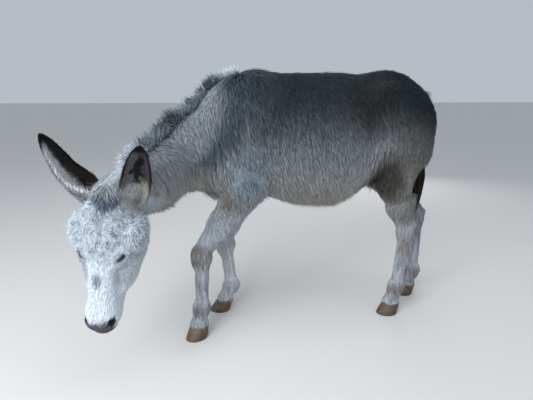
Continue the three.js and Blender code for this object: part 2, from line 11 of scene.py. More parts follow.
import bmesh
import bpy
import numpy as np
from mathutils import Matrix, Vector


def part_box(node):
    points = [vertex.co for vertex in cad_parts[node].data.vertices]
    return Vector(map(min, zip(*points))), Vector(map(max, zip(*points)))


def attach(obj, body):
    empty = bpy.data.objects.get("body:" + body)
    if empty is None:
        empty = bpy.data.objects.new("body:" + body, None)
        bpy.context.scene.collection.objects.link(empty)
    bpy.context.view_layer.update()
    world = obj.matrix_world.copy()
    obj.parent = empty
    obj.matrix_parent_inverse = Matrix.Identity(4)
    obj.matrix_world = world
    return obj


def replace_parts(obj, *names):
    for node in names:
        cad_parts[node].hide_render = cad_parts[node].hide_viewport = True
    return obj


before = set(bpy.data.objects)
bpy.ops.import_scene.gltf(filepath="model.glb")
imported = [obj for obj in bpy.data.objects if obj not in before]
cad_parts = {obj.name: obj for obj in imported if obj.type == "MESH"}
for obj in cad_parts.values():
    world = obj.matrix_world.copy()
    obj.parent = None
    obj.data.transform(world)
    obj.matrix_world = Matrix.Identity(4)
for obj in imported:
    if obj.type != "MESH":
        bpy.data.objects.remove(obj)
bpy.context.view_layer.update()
print("nodes:", ", ".join(sorted(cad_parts)))

# %% [markdown]
# The solids were drawn in the donkey's own plan, in millimetres, and then moved so that the origin
# lies under the middle of the box. An eyeball is a round landmark whose place is known in both, so
# it gives the move from one to the other. The head has a frame of its own at the poll: x runs down
# the nose, y to the animal's left and z out of the face.

# %% Places in the plan and in the head
MM = 0.001
TINY = 1e-9  # keeps a divisor from being zero
UP = np.array((0.0, 0.0, 1.0))
HEAD_TURN, NOSE_OUT, HEAD_TILT = np.radians((256.0, 10.0, -4.0))
POLL = (-864, -402, 705)
EYE_AT = (212, 60, -36)  # in the head's frame, for the left eye
EYE_RADIUS = 18.4 * MM
SIDES = {-1: "right", 1: "left"}  # of the head, by the sign of y in its frame


def unit(a):
    """Each vector divided by its own length."""
    a = np.asarray(a, float)
    return a / np.maximum(np.linalg.norm(a, axis=-1, keepdims=True), TINY)


def turned(first, second, angle):
    """The first direction turned by an angle towards the second."""
    return first * math.cos(angle) + second * math.sin(angle)


heading = np.array((math.cos(HEAD_TURN), math.sin(HEAD_TURN), 0.0))
left = np.cross(UP, heading)
down = turned(-UP, heading, NOSE_OUT)
face = np.cross(down, left)
HEAD = np.array((turned(down, left, HEAD_TILT), turned(left, down, -HEAD_TILT), face))
eye_middle = np.array(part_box("eye_left")).mean(0)
SHIFT = eye_middle - (np.array(POLL) + np.array(EYE_AT) @ HEAD) * MM


def plan(x, y, z):
    """A place in the donkey's plan, in millimetres, as a point of the scene in metres."""
    return np.array((x, y, z), float) * MM + SHIFT


POLL_POINT = plan(*POLL)


def in_head(x, y, z):
    """A place in the head's frame, in millimetres, as a point of the scene."""
    return POLL_POINT + np.array((x, y, z), float) @ HEAD * MM


def plan_place(points):
    """The reverse: points of the scene as millimetres in the plan."""
    return (points - SHIFT) / MM


def head_place(points):
    """Points of the scene as millimetres in the head's frame."""
    return (points - POLL_POINT) @ HEAD.T / MM


print("shift of the plan (mm):", np.round(SHIFT / MM, 1))

# %% [markdown]
# ## Camera, floor and light
#
# A wide lens at the height of a person's waist looks slightly down on the animal. The floor is one
# pale sheet, so big that its far edge looks like a horizon. The light is an even sky and three soft
# panels. The strong one stands in front and to the left, as the open side of a stable would, and the
# weak ones, above and behind, keep back and rump from sinking into black.

# %% The camera
CAMERA_AT = plan(-600, -1720, 980)
LENS = 28.0
YAW, PITCH = math.radians(11.0), math.radians(13.8)
VIEW_END = 250  # metres, beyond the edge of the floor

camera_data = bpy.data.cameras.new("camera")
camera_data.lens = LENS
camera_data.clip_end = VIEW_END
camera = bpy.data.objects.new("camera", camera_data)
camera.location = CAMERA_AT
camera.rotation_euler = (math.pi / 2 - PITCH, 0, -YAW)
bpy.context.collection.objects.link(camera)
bpy.context.scene.camera = camera

# %% The lights
PANELS = {  # name: place, the point it faces, width and height, watts
    "front_panel": ((-2.3, -2.5, 1.9), (-0.5, -0.2, 0.5), (2.4, 2.0), 130),
    "top_panel": ((0.2, -0.8, 3.3), (0.1, 0.0, 0.6), (3.2, 2.2), 28),
    "back_panel": ((1.6, 3.4, 1.5), (0.1, 0.2, 0.7), (2.2, 2.0), 22),
}
SKY_COLOUR, SKY_STRENGTH = (0.86, 0.92, 1.0, 1), 0.55

for name, (place, aim, size, watts) in PANELS.items():
    light = bpy.data.lights.new(name, "AREA")
    light.shape = "RECTANGLE"
    light.size, light.size_y = size
    light.energy = watts
    lamp = bpy.data.objects.new(name, light)
    lamp.location = place
    lamp.rotation_euler = (Vector(aim) - Vector(place)).to_track_quat("-Z", "Y").to_euler()
    bpy.context.collection.objects.link(lamp)

sky = bpy.data.worlds.new("studio")
sky.use_nodes = True
sky.node_tree.nodes["Background"].inputs["Color"].default_value = SKY_COLOUR
sky.node_tree.nodes["Background"].inputs["Strength"].default_value = SKY_STRENGTH
bpy.context.scene.world = sky
bpy.context.scene.view_settings.view_transform = "Standard"

# %% [markdown]
# ## The body as a field of rounded forms
#
# Under the coat a donkey is a set of rounded masses: rib cage, belly, shoulder, haunch, joints. A
# field says for every point how far it is from the nearest mass, and lets neighbouring masses melt
# into each other. A surface of equal distance is then a smooth body, and a surface a little further
# in is the same body without its coat. The forms are those of the solids, so the two agree.

# %% The field's parts
PARTS = ("trunk", "neck", "head", "legs", "dock")
forms = []  # (part, middle, reach, blend, distance function)
part_now = "trunk"
FAR = 0.075  # beyond this distance from a form, in metres, it can't change the surface
AWAY = 9.0  # a distance in metres that is greater than any here


def add_form(middle, reach, blend, distance):
    """Keeps a form with its part's name."""
    forms.append((PARTS.index(part_now), middle, reach, blend * MM, distance))


def ball(middle, radii, blend, axes=np.eye(3)):
    """An ellipsoid: the distance is the scaled radius less one, divided by its slope."""
    radii = np.array(radii, float) * MM

    def distance(p):
        q = (p - middle) @ np.transpose(axes)
        scaled = np.linalg.norm(q / radii, axis=1)
        slope = np.linalg.norm(q / radii**2, axis=1)
        return np.where(slope > TINY, scaled * (scaled - 1) / np.maximum(slope, TINY), -radii.min())

    add_form(middle, radii.max(), blend, distance)


def rod(a, b, radius_a, radius_b, blend, flat=1.0, across=(0, 1, 0)):
    """A rod from a to b, with a radius that runs from one to the other. `flat` narrows it along
    `across`: that part of the offset counts as longer by the same ratio."""
    along = b - a
    side = unit(across)

    def distance(p):
        t = np.clip((p - a) @ along / max(along @ along, TINY), 0, 1)
        q = p - a - t[:, None] * along
        straight = np.linalg.norm(q, axis=1)
        q += (q @ side * (1 / flat - 1))[:, None] * side
        length = np.maximum(np.linalg.norm(q, axis=1), TINY)
        radius = (radius_a + (radius_b - radius_a) * t) * MM
        return (length - radius) * np.where(straight > TINY, straight / length, flat)

    reach = np.linalg.norm(along) / 2 + max(radius_a, radius_b) * MM
    add_form((a + b) / 2, reach, blend, distance)


def field(points):
    """Distance to the body, and each part's own distance. Each form is melted into the ones before
    it, by taking the smaller distance less a quarter of the squared overlap."""
    d = np.full(len(points), AWAY)
    parts = np.full((len(points), len(PARTS)), AWAY)
    for part, middle, reach, blend, distance in forms:
        near = np.linalg.norm(points - middle, axis=1) < reach + FAR
        if not near.any():
            continue
        e = distance(points[near])
        before = d[near]
        overlap = np.maximum(blend - np.abs(before - e), 0) / blend
        d[near] = np.minimum(before, e) - overlap**2 * blend / 4
        parts[near, part] = np.minimum(parts[near, part], e)
    return d, parts


# %% [markdown]
# ### Trunk, legs, neck, head and dock
#
# Each mass is one call. Pairs are made in a loop over the two sides, and the legs in a loop over
# four chains of joints, whose places make the pose: a near foreleg reaching forward, a far one under
# the breast, and two hind legs standing one behind the other.

# %% Masses of the trunk
rod(plan(-330, 0, 820), plan(12, 0, 821), 238, 239, 1, 205 / 242)  # rib cage
ball(plan(-60, 0, 762), (302, 236, 226), 60)  # belly
ball(plan(-345, 0, 905), (140, 105, 175), 60)  # withers
rod(plan(-300, 0, 960), plan(250, 0, 975), 105, 100, 70, 0.95)  # back and loin
ball(plan(255, 0, 890), (205, 176, 200), 60)  # croup
ball(plan(-478, 0, 722), (118, 135, 138), 60)  # breast
for s in (-1, 1):
    rod(plan(-375, s * 75, 985), plan(-500, s * 112, 740), 78, 88, 50, 0.72)  # shoulder blade
    rod(plan(-500, s * 112, 732), plan(-392, s * 118, 650), 80, 82, 50, 0.78)  # upper arm
    ball(plan(300, s * 82, 850), (142, 108, 175), 50)  # haunch
    ball(plan(205, s * 118, 985), (48, 34, 40), 60)  # point of the hip
    ball(plan(395, s * 62, 850), (52, 60, 100), 50)  # buttock
    ball(plan(172, s * 122, 728), (80, 60, 86), 60)  # flank

# %% Masses of the neck
NECK = [  # place, half the depth, half the width
    (plan(-410, 0, 880), 150, 105),
    (plan(-590, -90, 772), 128, 88),
    (plan(-715, -235, 707), 106, 74),
    (plan(-808, -338, 657), 92, 70),
]
part_now = "neck"
for (a, deep_a, half_a), (b, deep_b, half_b) in zip(NECK, NECK[1:]):
    ratio = (half_a + half_b) / (deep_a + deep_b)
    rod(a, b, deep_a, deep_b, 70, ratio, np.cross(b - a, UP))

# %% Masses of the legs
FORELEGS = [  # side, elbow, knee, fetlock, middle of the sole
    (-1, (-392, -105, 600), (-557, -88, 327), (-566, -108, 128), (-586, -124, 0)),
    (1, (-400, 105, 600), (-440, 92, 315), (-420, 92, 128), (-468, 94, 0)),
]
HINDLEGS = [  # side, stifle, hock, fetlock, middle of the sole
    (-1, (265, -118, 645), (356, -88, 400), (330, -84, 132), (298, -86, 0)),
    (1, (310, 118, 645), (510, 88, 405), (508, 84, 132), (474, 86, 0)),
]
HOOF_HEIGHT = 52 * MM


def moved(point, x, y, z):
    """A point moved by so many millimetres."""
    return point + np.array((x, y, z), float) * MM


def foot_line(fetlock, sole):
    """The way the toe points and the middle of the coronet, where the line from fetlock to sole
    passes the top of the hoof."""
    toe = unit((sole - fetlock) * (1, 1, 0))
    share = 1 - HOOF_HEIGHT / fetlock[2]
    coronet = fetlock + (sole - fetlock) * share
    coronet[2] = HOOF_HEIGHT
    return toe, coronet


def shape_foot(fetlock, sole):
    """Fetlock, pastern, the swelling behind the fetlock, and the flesh inside the hoof."""
    toe, coronet = foot_line(fetlock, sole)
    ball(fetlock - toe * 4 * MM, (36, 32, 34), 20)
    rod(fetlock, coronet, 30, 36, 20)  # pastern
    ergot = fetlock - toe * 24 * MM
    rod(ergot, np.array((*ergot[:2], 98 * MM)), 15, 10, 18)  # behind the fetlock
    rod(coronet, moved(coronet, 0, 0, -30), 39, 41, 12)


part_now = "legs"
for side, *joints in FORELEGS:
    elbow, knee, fetlock, sole = (plan(*j) for j in joints)
    mid = elbow + (knee - elbow) * 0.42
    rod(moved(elbow, 20, side * 8, 40), mid, 88, 60, 50, 0.85)  # elbow and upper forearm
    rod(mid, moved(knee, 0, 0, 40), 60, 38, 40, 0.9)  # forearm
    ball(moved(knee, -3, 0, 6), (43, 40, 52), 26)
    ball(moved(knee, 26, 0, 12), (18, 18, 24), 20)  # bone behind the knee
    rod(knee, fetlock, 31, 26, 22, 0.88)  # cannon
    rod(moved(knee, 14, 0, -20), moved(fetlock, 12, 0, 12), 17, 18, 14, 0.8)  # tendons
    shape_foot(fetlock, sole)
for side, *joints in HINDLEGS:
    stifle, hock, fetlock, sole = (plan(*j) for j in joints)
    gaskin = (stifle + hock) / 2
    rod(moved(stifle, 40, 0, 120), stifle, 112, 82, 60, 0.76)  # thigh
    rod(stifle, gaskin, 81, 58, 50, 0.8)
    rod(gaskin, moved(hock, -12, 0, 20), 58, 36, 36, 0.82)
    rod(moved(gaskin, 52, 0, 40), moved(hock, 26, 0, 34), 22, 15, 30, 0.7)  # hamstring
    rod(moved(hock, 28, 0, 30), moved(hock, 14, 0, -20), 19, 22, 16, 0.85)  # point of the hock
    ball(moved(hock, -6, 0, -8), (36, 36, 46), 24)
    rod(hock, fetlock, 31, 26, 24, 0.86)  # cannon
    rod(moved(hock, 16, 0, -20), moved(fetlock, 14, 0, 12), 18, 17, 14, 0.8)  # tendons
    shape_foot(fetlock, sole)

# %% Masses of the head
part_now = "head"
NOSE_AXIS, CHEEK_AXIS, FACE_AXIS = HEAD


def head_ball(x, y, z, rx, ry, rz, blend):
    """An ellipsoid whose place and axes are those of the head's frame."""
    ball(in_head(x, y, z), (rx, ry, rz), blend, HEAD)


head_ball(58, 0, -84, 86, 90, 80, 60)  # brain case
head_ball(135, 0, -82, 108, 108, 82, 40)  # forehead
rod(in_head(190, 0, -64), in_head(395, 0, -62), 62, 44, 40, 0.96, CHEEK_AXIS)  # bridge
rod(in_head(70, 0, -125), in_head(190, 0, -150), 84, 74, 40, 0.76, CHEEK_AXIS)  # throat
head_ball(172, 0, -156, 106, 108, 92, 36)  # cheeks
rod(in_head(190, 0, -150), in_head(400, 0, -104), 84, 49, 40, 0.96, CHEEK_AXIS)  # jaws
head_ball(415, 0, -70, 52, 52, 50, 34)  # muzzle
head_ball(452, 0, -82, 28, 33, 34, 24)  # upper lip
head_ball(430, 0, -122, 34, 32, 24, 16)  # lower lip and chin
for s in (-1, 1):
    head_ball(134, s * 93, -78, 56, 37, 52, 36)  # brow and temple
    head_ball(206, s * 58, -56, 42, 30, 36, 24)  # rim of the eye socket
    rod(in_head(225, s * 66, -92), in_head(325, s * 44, -94), 30, 22, 26, 1, NOSE_AXIS)
    head_ball(256, s * 56, -128, 74, 36, 58, 30)  # chewing muscle
    head_ball(436, s * 30, -58, 21, 18, 20, 18)  # nostril

# %% Masses of the dock
part_now = "dock"
DOCK = [plan(368, 0, 1015), plan(428, 0, 985), plan(458, 0, 900), plan(456, 0, 780), plan(450, 0, 695)]
DOCK_THICK = (32, 29, 26, 22, 19)  # its radius at each of these points
for a, b, thick_a, thick_b in zip(DOCK, DOCK[1:], DOCK_THICK, DOCK_THICK[1:]):
    rod(a, b, thick_a, thick_b, 14)
print(len(forms), "forms")

# %% [markdown]
# ## One skin
#
# The flesh of the solids comes as separate nodes with thin gaps between them. Remesh fills their
# copies as one block of even quads, so no seam is left. That mesh has the facets of the solids, so
# each point then slides down the field's slope until it lies the coat's depth inside the body. The
# head gets finer quads first, because lids, nostrils and lips are small.

# %% How deep the coat is
def mix(a, b, t):
    """From a to b as t goes from 0 to 1."""
    return a + (b - a) * t


def ramp(x, low, high):
    """0 below low, 1 above high, and an S curve between."""
    t = np.clip((x - low) / (high - low), 0, 1)
    return t * t * (3 - 2 * t)


def shares(parts, soft=0.014):
    """How much each point belongs to each part: the nearest part counts most."""
    weight = np.exp(-(parts - parts.min(1, keepdims=True)) / soft)
    return weight / weight.sum(1, keepdims=True)


def from_eye(points):
    """Distance in mm from the middle of the nearer opening between the lids."""
    x, y, z = head_place(points).T
    return np.sqrt((x - 212) ** 2 + (np.abs(y) - 75) ** 2 + (z + 24) ** 2)


def head_coat_depth(points):
    """Depth in mm on the head: deep on the forehead, thin down the nose, least at lips and eyes."""
    x, _, z = head_place(points).T
    front = ramp(z, -110, -40)
    forehead = mix(9, 13, front) * (1 - ramp(x, 120, 260))
    rest = mix(5.8, 3.8, front) * ramp(x, 120, 260)
    return (forehead + rest) * mix(1, 0.42, ramp(x, 330, 425)) * mix(0.3, 1, ramp(from_eye(points), 16, 52))


def coat_depth(points, parts):
    """Depth of the coat in metres: each part's own depth, weighed by its share."""
    w = shares(parts)
    z = points[:, 2]
    trunk = mix(18, 9, ramp(z, 0.62, 0.98))
    legs = mix(4.5, 14, ramp(z, 0.36, 0.64))
    depths = (trunk, 14 * np.ones(len(z)), head_coat_depth(points), legs, 8 * np.ones(len(z)))
    return sum(w[:, i] * depth for i, depth in enumerate(depths)) * MM


# %% [markdown]
# Hollows are cut into the field too: a socket round each eyeball, two slanting nostrils and the slit
# between the lips. Each is a shape of its own whose inside is taken away, with a rounded edge.

# %% Hollows of the head
hollows = []  # like forms, but taken away


def as_hollow(shape, *settings):
    """Makes a form and moves it from the body's list to the hollows."""
    shape(*settings)
    hollows.append(forms.pop())


EYE_SUNK = 4 * MM
SOCKET = 19.5  # its radius in mm, a little more than the eyeball's
EYE_LOOK, EYE_LONG, EYE_ACROSS, EYE_MIDDLE, EYE_AXES = {}, {}, {}, {}, {}
for s in SIDES:
    EYE_LOOK[s] = unit((0.02, s * 0.70, 0.71)) @ HEAD  # the way each eye faces
    long = unit((-0.66, s * 0.56, -0.50)) @ HEAD  # along the opening, towards its outer corner
    EYE_LONG[s] = unit(long - long @ EYE_LOOK[s] * EYE_LOOK[s])
    EYE_ACROSS[s] = np.cross(EYE_LOOK[s], EYE_LONG[s]) * s
    EYE_AXES[s] = np.stack((EYE_LONG[s], EYE_ACROSS[s], EYE_LOOK[s]))
    EYE_MIDDLE[s] = in_head(EYE_AT[0], s * (EYE_AT[1] - 2), EYE_AT[2]) - EYE_LOOK[s] * EYE_SUNK
    as_hollow(rod, EYE_MIDDLE[s], EYE_MIDDLE[s] + EYE_LOOK[s] * EYE_RADIUS, SOCKET, SOCKET, 5)
    as_hollow(rod, in_head(408, s * 49, -46), in_head(424, s * 41, -37), 4.5, 8.5, 4, 1.0, FACE_AXIS)
    as_hollow(rod, in_head(424, s * 41, -37), in_head(440, s * 31, -37), 8.5, 6.5, 4, 1.0, FACE_AXIS)
LIPS = ((394, 48, -103), (411, 48, -106), (427, 43, -108), (441, 35, -110), (452, 26, -112),
        (461, 14, -113), (464, 0, -113))  # from a corner of the mouth to the middle
MOUTH = [in_head(x, -y, z) for x, y, z in LIPS] + [in_head(*p) for p in LIPS[-2::-1]]
SLIT = 3.8 - 0.4 * np.abs(np.arange(len(MOUTH)) - len(MOUTH) // 2)  # its radius at each point, mm
for a, b, wide_a, wide_b in zip(MOUTH, MOUTH[1:], SLIT, SLIT[1:]):
    as_hollow(rod, a, b, wide_a, wide_b, 2)


def eye_place(s, points):
    """Millimetres along an eye's opening, across it and out of it, from the eyeball's middle."""
    return ((points - EYE_MIDDLE[s]) @ EYE_AXES[s].T / MM).T


def by_mouth(points):
    """1 between the lips, falling to 0 at 2 mm from them."""
    inside = np.max([-distance(points) for *_, distance in hollows[1 - len(MOUTH):]], axis=0)
    return ramp(inside / MM, -2, 0.5)


def bare_level(points):
    """The field a coat's depth further in."""
    d, parts = field(points)
    return d + coat_depth(points, parts)


def in_hollow(points):
    """How far inside a hollow each point is, in metres; 0 outside."""
    inside = np.zeros(len(points))
    for _, middle, reach, _, distance in hollows:
        near = np.linalg.norm(points - middle, axis=1) < reach + 10 * MM
        if near.any():
            inside[near] = np.maximum(inside[near], -distance(points[near]))
    return inside


def skin_level(points):
    """The bare level less the hollows, with rounded edges."""
    d = bare_level(points)
    for _, middle, reach, blend, distance in hollows:
        near = np.linalg.norm(points - middle, axis=1) < reach + 30 * MM
        if near.any():
            e, before = -distance(points[near]), d[near]
            overlap = np.maximum(blend - np.abs(before - e), 0) / blend
            d[near] = np.maximum(before, e) + overlap**2 * blend / 4
    return d


STEP = 0.8 * MM
FOUR_CORNERS = np.array(((1, 1, 1), (1, -1, -1), (-1, 1, -1), (-1, -1, 1)), float)
LONGEST_MOVE = 8 * MM


def slope(level, points):
    """The direction in which a level rises fastest, from its values at four corners around."""
    total = sum(c * level(points + c * STEP)[:, None] for c in FOUR_CORNERS)
    return total / (4 * STEP)


def settled(level, points, rounds):
    """Slides points onto a level's zero, a few moves down its slope."""
    for _ in range(rounds):
        rise = slope(level, points)
        steepness = np.maximum((rise**2).sum(1), 0.25)
        move = -rise * (level(points) / steepness)[:, None]
        far = np.maximum(np.linalg.norm(move, axis=1, keepdims=True) / LONGEST_MOVE, 1)
        points = points + move / far
    return points


# %% Filling the solids as one block
SKIN_STEP = 8.2 * MM
FLESH = ["trunk", "neck", "head", "leg_fore_left", "leg_fore_right", "leg_hind_left",
         "leg_hind_right", "tail_dock"]
OVERLAP = 1.2 * MM  # each copy is swollen by this, so that neighbours meet across their gap


def read_vectors(mesh, key):
    """A vector of every vertex, such as its place or its normal, as rows of three."""
    values = np.empty(len(mesh.vertices) * 3, np.float32)
    mesh.vertices.foreach_get(key, values)
    return values.reshape(-1, 3)


def read_points(mesh):
    """The places of all vertices."""
    return read_vectors(mesh, "co").astype(float)


def read_normals(mesh):
    """The normals of all vertices."""
    return read_vectors(mesh, "normal").astype(float)


def join_doubles(mesh, gap, outwards=False):
    """Points that are closer than the gap become one, and faces can be turned outwards."""
    bm = bmesh.new()
    bm.from_mesh(mesh)
    bmesh.ops.remove_doubles(bm, verts=bm.verts, dist=gap)
    if outwards:
        bmesh.ops.recalc_face_normals(bm, faces=bm.faces)
    bm.to_mesh(mesh)
    bm.free()


def add_piece(name, mesh):
    """A new object of a mesh, at the origin."""
    made = bpy.data.objects.new(name, mesh)
    bpy.context.collection.objects.link(made)
    return made


block = bmesh.new()
for node in FLESH:
    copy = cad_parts[node].data.copy()
    join_doubles(copy, 0.01 * MM)
    swollen = read_vectors(copy, "co") + read_vectors(copy, "normal") * OVERLAP
    copy.vertices.foreach_set("co", swollen.ravel())
    block.from_mesh(copy)
    bpy.data.meshes.remove(copy)
skin_mesh = bpy.data.meshes.new("skin")
block.to_mesh(skin_mesh)
block.free()
skin = add_piece("skin", skin_mesh)
fill = skin.modifiers.new("fill", "REMESH")
fill.mode = "VOXEL"
fill.voxel_size = SKIN_STEP
fill.use_smooth_shade = True
filled = bpy.data.meshes.new_from_object(skin.evaluated_get(bpy.context.evaluated_depsgraph_get()))
skin.modifiers.clear()
skin.data = filled
print("filled block:", len(filled.vertices), "vertices")


# %% Finer quads on the head
def read_edges(mesh):
    """The two vertices of every edge."""
    ends = np.empty(len(mesh.edges) * 2, np.int32)
    mesh.edges.foreach_get("vertices", ends)
    return ends.reshape(-1, 2)


def finer(mesh, wanted):
    """Cuts every edge in two where `wanted` says so for its middle."""
    chosen = wanted(read_points(mesh)[read_edges(mesh)].mean(1))
    bm = bmesh.new()
    bm.from_mesh(mesh)
    bm.edges.ensure_lookup_table()
    edges = [bm.edges[i] for i in np.flatnonzero(chosen)]
    bmesh.ops.subdivide_edges(bm, edges=edges, cuts=1, use_grid_fill=True)
    bm.to_mesh(mesh)
    bm.free()


def on_head(points):
    """Whether points lie in a box round the head, in its frame."""
    x, y, z = head_place(points).T
    return (x > 10) & (np.abs(y) < 135) & (z > -250) & (x < 520) & (z < 60)


def near_features(points):
    """Round the eyes, and the end of the muzzle."""
    x, y, z = head_place(points).T
    eye = np.linalg.norm(np.stack((x - 214, np.abs(y) - 70, z + 30)), axis=0) < 40
    return on_head(points) & (eye | (x > 404))


finer(skin.data, on_head)
finer(skin.data, near_features)
print("with a finer head:", len(skin.data.vertices), "vertices,", len(skin.data.polygons), "faces")


# %% [markdown]
# The skin settles in two stages. It first comes to rest on the bare body, and its quads are evened.
# Points over a hollow are then pushed straight in, so that enough of them line it, and only then do
# they slide onto its wall.

# %% Letting the skin settle
def evened(points, ends, rounds):
    """Moves each point half of the way to the mean of its neighbours."""
    count = len(points)
    both = np.concatenate((ends, ends[:, ::-1]))
    neighbours = np.bincount(both[:, 0], minlength=count)[:, None]
    for _ in range(rounds):
        sums = np.stack([np.bincount(both[:, 0], points[both[:, 1], k], count) for k in range(3)], 1)
        points = mix(points, sums / np.maximum(neighbours, 1), 0.5)
    return points


ends = read_edges(skin.data)
skin_points = settled(bare_level, read_points(skin.data), 3)
skin_points = settled(bare_level, evened(skin_points, ends, 4), 2)
inward = -unit(slope(bare_level, skin_points))
PUSHES = 12  # each goes as far as the hollow is deep there
for _ in range(PUSHES):
    skin_points = skin_points + inward * in_hollow(skin_points)[:, None]
skin_points = settled(skin_level, skin_points, 2)
skin_points = settled(skin_level, evened(skin_points, ends, 2), 3)
skin.data.vertices.foreach_set("co", skin_points.astype(np.float32).ravel())
skin.data.update()
print("largest distance left (mm):", round(float(np.abs(skin_level(skin_points)).max() / MM), 2))

# %% [markdown]
# ## Finishes
#
# Shader maths reads best as plain formulas. A small class wraps a socket and lets + and * add the
# nodes, so `0.6 + grain * 0.4` works as it would with numbers. One method makes every other node
# from its type, its settings and its inputs.

# %% Formulas for shaders
class Value:
    """A socket that can be used in a formula."""

    def __init__(self, finish, socket):
        self.finish, self.socket = finish, socket

    def _maths(self, operation, first, second):
        """A Math node on two values."""
        return self.finish.node("ShaderNodeMath", {"operation": operation}, {0: first, 1: second})

    def __add__(self, other):
        return self._maths("ADD", self, other)

    def __mul__(self, other):
        return self._maths("MULTIPLY", self, other)

    __radd__, __rmul__ = __add__, __mul__

    def ramp(self, low, high):
        """0 below low, 1 above high, and an S curve between."""
        return self.finish.node("ShaderNodeMapRange", {"interpolation_type": "SMOOTHSTEP"},
                                {"Value": self, "From Min": low, "From Max": high})


MIX_SHARE, MIX_FIRST, MIX_SECOND, MIX_RESULT = 0, 6, 7, 2  # a Mix node's sockets for colours


class Finish:
    """A material with one Principled shader, and the helpers that fill its tree."""

    def __init__(self, name, **constants):
        self.material = bpy.data.materials.new(name)
        self.material.use_nodes = True
        self.tree = self.material.node_tree
        self.shader = self.tree.nodes["Principled BSDF"]
        for socket, value in constants.items():
            self.shader.inputs[socket.replace("_", " ")].default_value = value

    def fill(self, socket, value):
        """Links a value to a socket, or sets the socket to a constant."""
        if isinstance(value, Value):
            self.tree.links.new(value.socket, socket)
        else:
            socket.default_value = value

    def node(self, kind, settings=None, inputs=None, output=0):
        """A node of a type, with its settings and then its inputs, as the value it gives."""
        made = self.tree.nodes.new(kind)
        for name, setting in (settings or {}).items():
            setattr(made, name, setting)
        for name, value in (inputs or {}).items():
            self.fill(made.inputs[name], value)
        return Value(self, made.outputs[output])

    def attribute(self, name, output="Fac"):
        """A mesh's own attribute, as a number or as a colour."""
        return self.node("ShaderNodeAttribute", {"attribute_name": name}, output=output)

    def place(self):
        """Each point's place in the object."""
        return self.node("ShaderNodeTexCoord", output="Object")

    def noise(self, scale, detail, stretch=(1, 1, 1)):
        """Smooth random values from 0 to 1, with about `scale` swells to the metre."""
        where = self.node("ShaderNodeVectorMath", {"operation": "MULTIPLY"},
                          {0: self.place(), 1: stretch})
        return self.node("ShaderNodeTexNoise", None,
                         {"Vector": where, "Scale": scale, "Detail": detail})

    def scaled(self, colour, amount):
        """A colour made darker or brighter by a number."""
        return self.node("ShaderNodeVectorMath", {"operation": "SCALE"}, {0: colour, "Scale": amount})

    def blend(self, share, first, second):
        """From the first colour to the second."""
        return self.node("ShaderNodeMix", {"data_type": "RGBA"},
                         {MIX_SHARE: share, MIX_FIRST: first, MIX_SECOND: second}, MIX_RESULT)

    def bump(self, height, depth, strength):
        """A normal bent by a height, which counts as `depth` metres for 1."""
        return self.node("ShaderNodeBump", None,
                         {"Height": height, "Distance": depth, "Strength": strength})

    def give(self, socket, value):
        """Feeds one of the shader's sockets."""
        self.fill(self.shader.inputs[socket], value)


def paint(red, green, blue):
    """A screen colour, 0 to 255 each, as the linear light that shaders count in."""
    share = np.array((red, green, blue)) / 255
    return np.where(share <= 0.04045, share / 12.92, ((share + 0.055) / 1.055) ** 2.4)


# %% [markdown]
# ### Markings
#
# Skin and coat have to agree, so the markings are one formula of place, worked out for the points of
# both and kept in each mesh as a colour attribute. The donkey is a pale grey: slate along the back,
# darkened further by painted shade on top, near white on the face, brown where the hip rubs and on
# the front of the thigh, with black-edged ears and a dark end to the muzzle. A lattice of random
# numbers, blended smoothly, breaks the edges.

# %% Repeatable randomness
def cell_random(cell, seed):
    """A random number from 0 to 1 for each whole-numbered cell, the same on every run."""
    n = (cell[:, 0] * 73856093) ^ (cell[:, 1] * 19349663) ^ (cell[:, 2] * 83492791)
    n = (n + seed * 2654435761) & 0xFFFFFFFF
    n = ((n ^ (n >> 15)) * 2246822519) & 0xFFFFFFFF
    n = ((n ^ (n >> 13)) * 3266489917) & 0xFFFFFFFF
    return ((n ^ (n >> 16)) & 0xFFFFFF) / 0xFFFFFF


def mottle(points, size, seed):
    """Smooth random values from -1 to 1: numbers at the corners of a lattice `size` apart, blended
    by an S curve along each axis."""
    q = points / size + 31.7 * (seed + 1)
    cell = np.floor(q).astype(np.int64)
    f = q - cell
    f = f * f * (3 - 2 * f)
    total = 0
    for corner in np.ndindex(2, 2, 2):
        weight = np.prod(np.where(corner, f, 1 - f), axis=1)
        total = total + weight * cell_random(cell + corner, seed)
    return 2 * total - 1


# %% Colours and patches
PALE = paint(162, 170, 178)
WARM = paint(184, 180, 174)
# slate of the coat, made darker still as painted shade on the top of back and rump
SLATE_AND_TOP_SHADE = paint(22, 35, 41)
SHADOW = paint(58, 74, 86)
SMUDGE = paint(42, 38, 36)
WHITE = paint(232, 242, 252)
LAVENDER = paint(128, 138, 158)
MUZZLE = paint(50, 47, 54)
DIRTY = paint(132, 118, 108)


def spot(points, place, radii, edge, axes=np.eye(3)):
    """1 inside an ellipsoid, 0 outside, with a soft edge whose width is a share of the radius."""
    r = np.linalg.norm((points - place) @ np.transpose(axes) / (np.array(radii) * MM), axis=1)
    return 1 - ramp(r, 1 - edge, 1 + edge)


def over(colour, share, new):
    """A new colour laid over another by a share."""
    return colour + (new - colour) * np.clip(share, 0, 1)[:, None]


def part_shares(points, soft=0.014):
    """The distances to the parts, and how much each point belongs to each. In front of the poll what
    the neck claims is the head's."""
    _, parts = field(points)
    w = dict(zip(PARTS, shares(parts, soft).T))
    hx, hy, hz = head_place(points).T
    front = ramp(hx, -6, 30) * ramp(hz, -190, -130) * (np.abs(hy) < 160) * (hx < 520)
    w["head"], w["neck"] = w["head"] + front * w["neck"], w["neck"] * (1 - front)
    return parts, w


